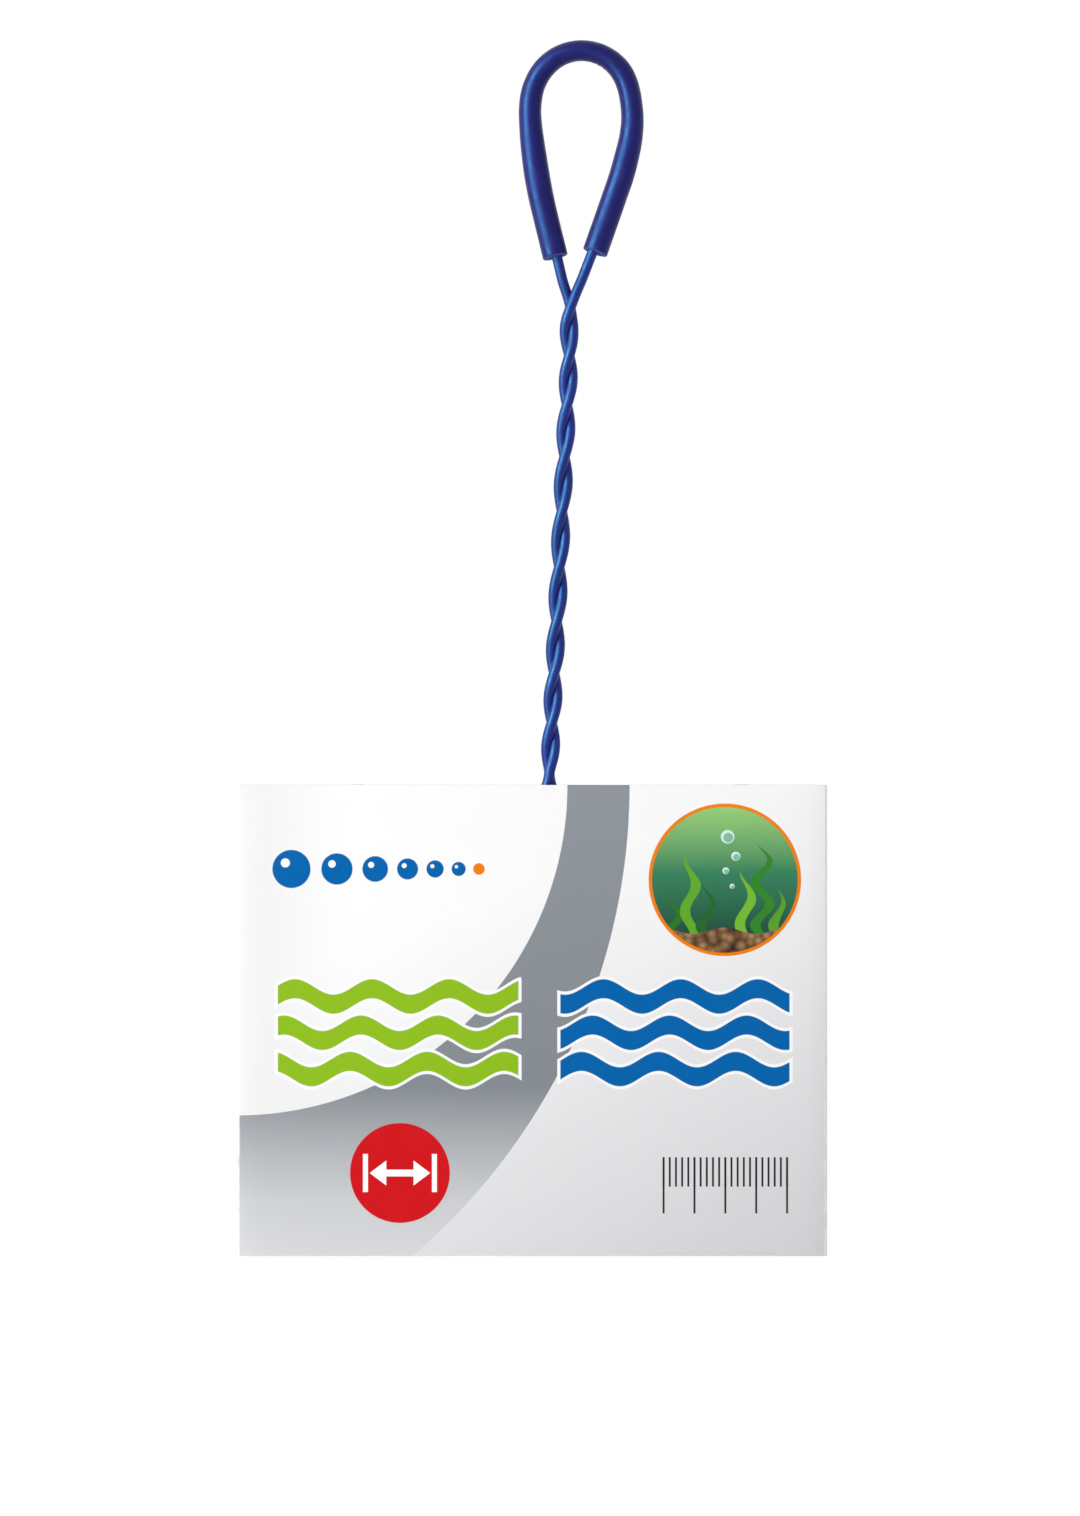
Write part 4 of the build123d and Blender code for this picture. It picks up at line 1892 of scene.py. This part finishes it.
@dataclass
class CardSleeve:
    """Card folded round the net head, with print outside, bare board inside and white cut edges."""

    print_front: Material
    print_back: Material
    inside: Material
    edge: Material
    card: float = 0.45 * MM
    fold_radius: float = 0.33 * MM
    lap: float = 18.0 * MM
    glue: float = 0.1 * MM
    rows: int = 26
    steps: Span = (5.0 * MM, 0.18 * MM)
    edge_turn: float = 0.9
    sag: float = 0.16 * MM
    sag_rate: float = 22.0
    sag_edge: Span = (0.55, 0.98)

    def __post_init__(self) -> None:
        """Reads the sleeve's box."""
        self.low, self.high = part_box("card_sleeve")

    def path(self) -> PlanarPath:
        """Gives the path of the card's middle, from the inner lap edge to the outer one.

        Returns:
            Path drawn with depth as its upward direction.
        """
        half = self.card / 2
        width = self.high.x - self.low.x - self.card
        front = self.low.y + half
        outer = self.high.y - half
        inner = outer - self.card - self.glue
        turn = math.pi / 2
        fold = Leg(self.fold_radius * turn, -turn)
        trim = 2 * self.fold_radius
        lap_start = (self.low.x + self.high.x - self.lap) / 2
        run = self.high.x - half - lap_start - self.fold_radius
        right, left = Leg(inner - front - trim), Leg(outer - front - trim)
        legs = (Leg(run), fold, right, fold, Leg(width - trim), fold, left, fold, Leg(run))
        return PlanarPath(Vector((lap_start, 0.0, inner)), 0.0, legs)

    def build(self) -> Piece:
        """Sweeps the card's cut section round its folds.

        Returns:
            The sleeve.
        """
        path = self.path()
        runs = path.runs(*self.steps)
        upright = Matrix(((1, 0, 0, 0), (0, 0, 1, 0), (0, -1, 0, 0), (0, 0, 0, 1)))
        places = [upright @ path.at(run) for run in runs]
        half = self.card / 2
        heights = [self.low.z + (self.high.z - self.low.z) * k / self.rows for k in range(self.rows + 1)]
        outside = [Vector((0.0, -z, half)) for z in heights]
        inside = [Vector((0.0, -z, -half)) for z in reversed(heights)]
        swept = SweptMesh()
        swept.loft(outside + inside, places, runs)
        self.sort_faces(swept)
        self.relax(swept.bm)
        finishes = [self.print_front, self.print_back, self.inside, self.edge]
        nodes, sharp = ["card_sleeve"], math.radians(50)
        return publish("folded_card", swept.bm, finishes, Body.SLEEVE, nodes, sharp)

    def sort_faces(self, swept: SweptMesh) -> None:
        """Gives each face the material of its side of the card.

        Args:
            swept: Mesh of the sleeve.
        """
        height = self.high.z - self.low.z
        for face in swept.bm.faces:
            runs = [vert[swept.run] for vert in face.verts]
            if abs(face.normal.z) > self.edge_turn or max(runs) - min(runs) < TINY:
                side = CardSide.EDGE
            elif max(vert[swept.girth] for vert in face.verts) > height + self.card / 2:
                side = CardSide.INSIDE
            elif face.calc_center_median().y < self.low.y + self.card:
                side = CardSide.FRONT
            else:
                side = CardSide.BACK
            face.material_index = side.value

    def relax(self, bm: BMesh) -> None:
        """Lets the front panel sink very slightly between its folds.

        Args:
            bm: Mesh of the sleeve.
        """
        middle = (self.low.x + self.high.x) / 2
        half = (self.high.x - self.low.x) / 2
        for vert in bm.verts:
            across = abs(vert.co.x - middle) / half
            inward = 1.0 if vert.co.y < 0 else 0.0
            spot = Vector((vert.co.x * self.sag_rate, 1.0, vert.co.z * self.sag_rate))
            ripple = 0.5 + 0.5 * noise.noise(spot)
            vert.co.y += inward * self.sag * ripple * (1 - ease(*self.sag_edge, across))


@dataclass(frozen=True)
class Softbox:
    """Soft rectangular lamp: its place, width and height in metres, and power in watts."""

    name: str
    spot: Triple
    size: Span
    power: float
    in_gloss: bool = True
    in_diffuse: bool = True

    def hang(self, aim: Vector) -> None:
        """Adds the lamp to the scene, for gloss, for matt surfaces or for both.

        Args:
            aim: Point it faces.
        """
        light = bpy.data.lights.new(self.name, "AREA")
        light.shape = "RECTANGLE"
        light.size, light.size_y = self.size
        light.energy = self.power
        lamp = bpy.data.objects.new(self.name, light)
        lamp.visible_glossy = self.in_gloss
        lamp.visible_diffuse = self.in_diffuse
        lamp.location = self.spot
        lamp.rotation_euler = (aim - Vector(self.spot)).to_track_quat("-Z", "Y").to_euler()
        bpy.context.scene.collection.objects.link(lamp)


@dataclass
class Studio:
    """Pale floor, soft lamps, white surroundings and the camera of the photograph."""

    softboxes: tuple[Softbox, ...] = (
        Softbox("key_softbox", (-0.76, -0.56, 0.3), (0.75, 0.7), 8.5),
        Softbox("low_softbox", (-0.74, -0.62, -0.35), (0.75, 0.6), 3.15),
        Softbox("sheen_softbox", (-0.75, -0.59, 0.05), (0.5, 1.15), 26.0, in_diffuse=False),
        Softbox("front_fill", (-0.35, -1.6, 0.3), (1.0, 1.0), 3.3, in_gloss=False),
        Softbox("back_fill", (0.3, 1.4, 0.5), (1.0, 1.0), 10.0, in_gloss=False),
        Softbox("right_fill", (1.3, -0.2, 0.0), (0.6, 0.9), 4.0, in_gloss=False),
    )
    aim: Triple = (-0.01, 0.0, -0.13)
    floor_height: float = -0.4
    floor_radius: float = 1.0
    camera_distance: float = 1.8
    photo_height: int = 1516
    photo_middle: Span = (540.0, 758.0)
    card_left: float = 237.0
    card_right: float = 827.0
    card_top: float = 785.0
    sensor: float = 36.0
    ambient: float = 0.22

    def build(self) -> None:
        """Builds the floor, world, lamps and camera."""
        self.floor()
        self.world()
        for softbox in self.softboxes:
            softbox.hang(Vector(self.aim))
        self.camera()
        bpy.context.scene.view_settings.view_transform = "Standard"

    def floor(self) -> None:
        """Builds the round floor under the sleeve's lowest reach."""
        bm = bmesh.new()
        place = Matrix.Translation((0.0, 0.0, self.floor_height))
        bmesh.ops.create_circle(bm, cap_ends=True, segments=96, radius=self.floor_radius, matrix=place)
        floor = add_object("studio_floor", bm)
        bm.free()
        floor.data.materials.append(FloorFinish().make())

    def world(self) -> None:
        """Makes the surroundings: white where they are seen, an even soft light elsewhere."""
        world = bpy.data.worlds.new("studio")
        bpy.context.scene.world = world
        world.use_nodes = True
        tree = world.node_tree
        soft, white = tree.nodes["Background"], tree.nodes.new("ShaderNodeBackground")
        for background, strength in ((soft, self.ambient), (white, 1.0)):
            background.inputs["Color"].default_value = (1.0, 1.0, 1.0, 1.0)
            background.inputs["Strength"].default_value = strength
        mix = tree.nodes.new("ShaderNodeMixShader")
        for source, target in zip((seen_rays(tree), soft.outputs[0], white.outputs[0]), mix.inputs):
            tree.links.new(source, target)
        tree.links.new(mix.outputs[0], tree.nodes["World Output"].inputs["Surface"])

    def camera(self) -> None:
        """Places the camera so that the card fills the same pixels as in the photograph."""
        low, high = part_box("card_sleeve")
        metres_per_pixel = (high.x - low.x) / (self.card_right - self.card_left)
        x = low.x + (self.photo_middle[0] - self.card_left) * metres_per_pixel
        z = high.z - (self.photo_middle[1] - self.card_top) * metres_per_pixel
        lens = bpy.data.cameras.new("photo_camera")
        lens.sensor_fit = "VERTICAL"
        lens.sensor_height = self.sensor
        lens.lens = self.sensor * self.camera_distance / (self.photo_height * metres_per_pixel)
        camera = bpy.data.objects.new("photo_camera", lens)
        camera.location = (x, low.y - self.camera_distance, z)
        camera.rotation_euler = (math.pi / 2, 0.0, 0.0)
        bpy.context.scene.collection.objects.link(camera)
        bpy.context.scene.camera = camera


def main() -> None:
    """Builds the pieces in order."""
    logging.basicConfig(level=logging.INFO, format="%(name)s %(message)s")
    coat = VinylFinish(
        name="wire_coat_vinyl",
        colour=ink(37, 14, 120),
        drift_colour=ink(33, 12, 110),
        roughness=0.45,
        specular=0.56,
        sheen_tint=(0.12, 0.84, 1.0),
        ior=1.5,
    ).make()
    grip = VinylFinish(
        name="grip_vinyl",
        colour=ink(37, 17, 97),
        drift_colour=ink(33, 15, 88),
        roughness=0.42,
        specular=0.38,
        sheen_tint=(0.08, 0.55, 1.0),
        ior=1.5,
        peel_scale=1100.0,
    ).make()
    # Paler cut faces of the grip's mouths: stress-whitened vinyl, and a painted highlight on the cut lips.
    cut_whitening_and_highlight = VinylFinish("cut_vinyl", ink(74, 76, 148), ink(62, 64, 130), roughness=0.7, specular=0.3).make()
    tape = WovenTapeFinish().make()
    thread = TwistedThreadFinish().make()
    for node in ("hoop_coating", "grip_wire_coating"):
        dress_node(node, coat)
    dress_node("seam_glue", GlueFinish().make())
    loop = SoftGrip(grip, cut_whitening_and_highlight)
    loop.build()
    hoop = Hoop()
    TwistedHandle(loop, hoop, coat, DrawnSteelFinish().make()).build()
    RimBinding(hoop, tape, thread).build()
    NetBag(hoop, KnitNetFinish().make(), tape).build()
    low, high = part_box("card_sleeve")
    panel = {"left": low.x, "top": high.z, "width": high.x - low.x, "near": low.y, "far": high.y}
    CardSleeve(
        PrintedCardFinish(**panel, front=True, name="printed_front").make(),
        PrintedCardFinish(**panel, front=False, name="printed_back").make(),
        BoardFinish("bare_board", ink(206, 200, 190), ink(178, 170, 158)).make(),
        BoardFinish("cut_edge", ink(242, 240, 236), ink(220, 216, 208)).make(),
    ).build()
    Studio().build()


if __name__ == "__main__":
    main()
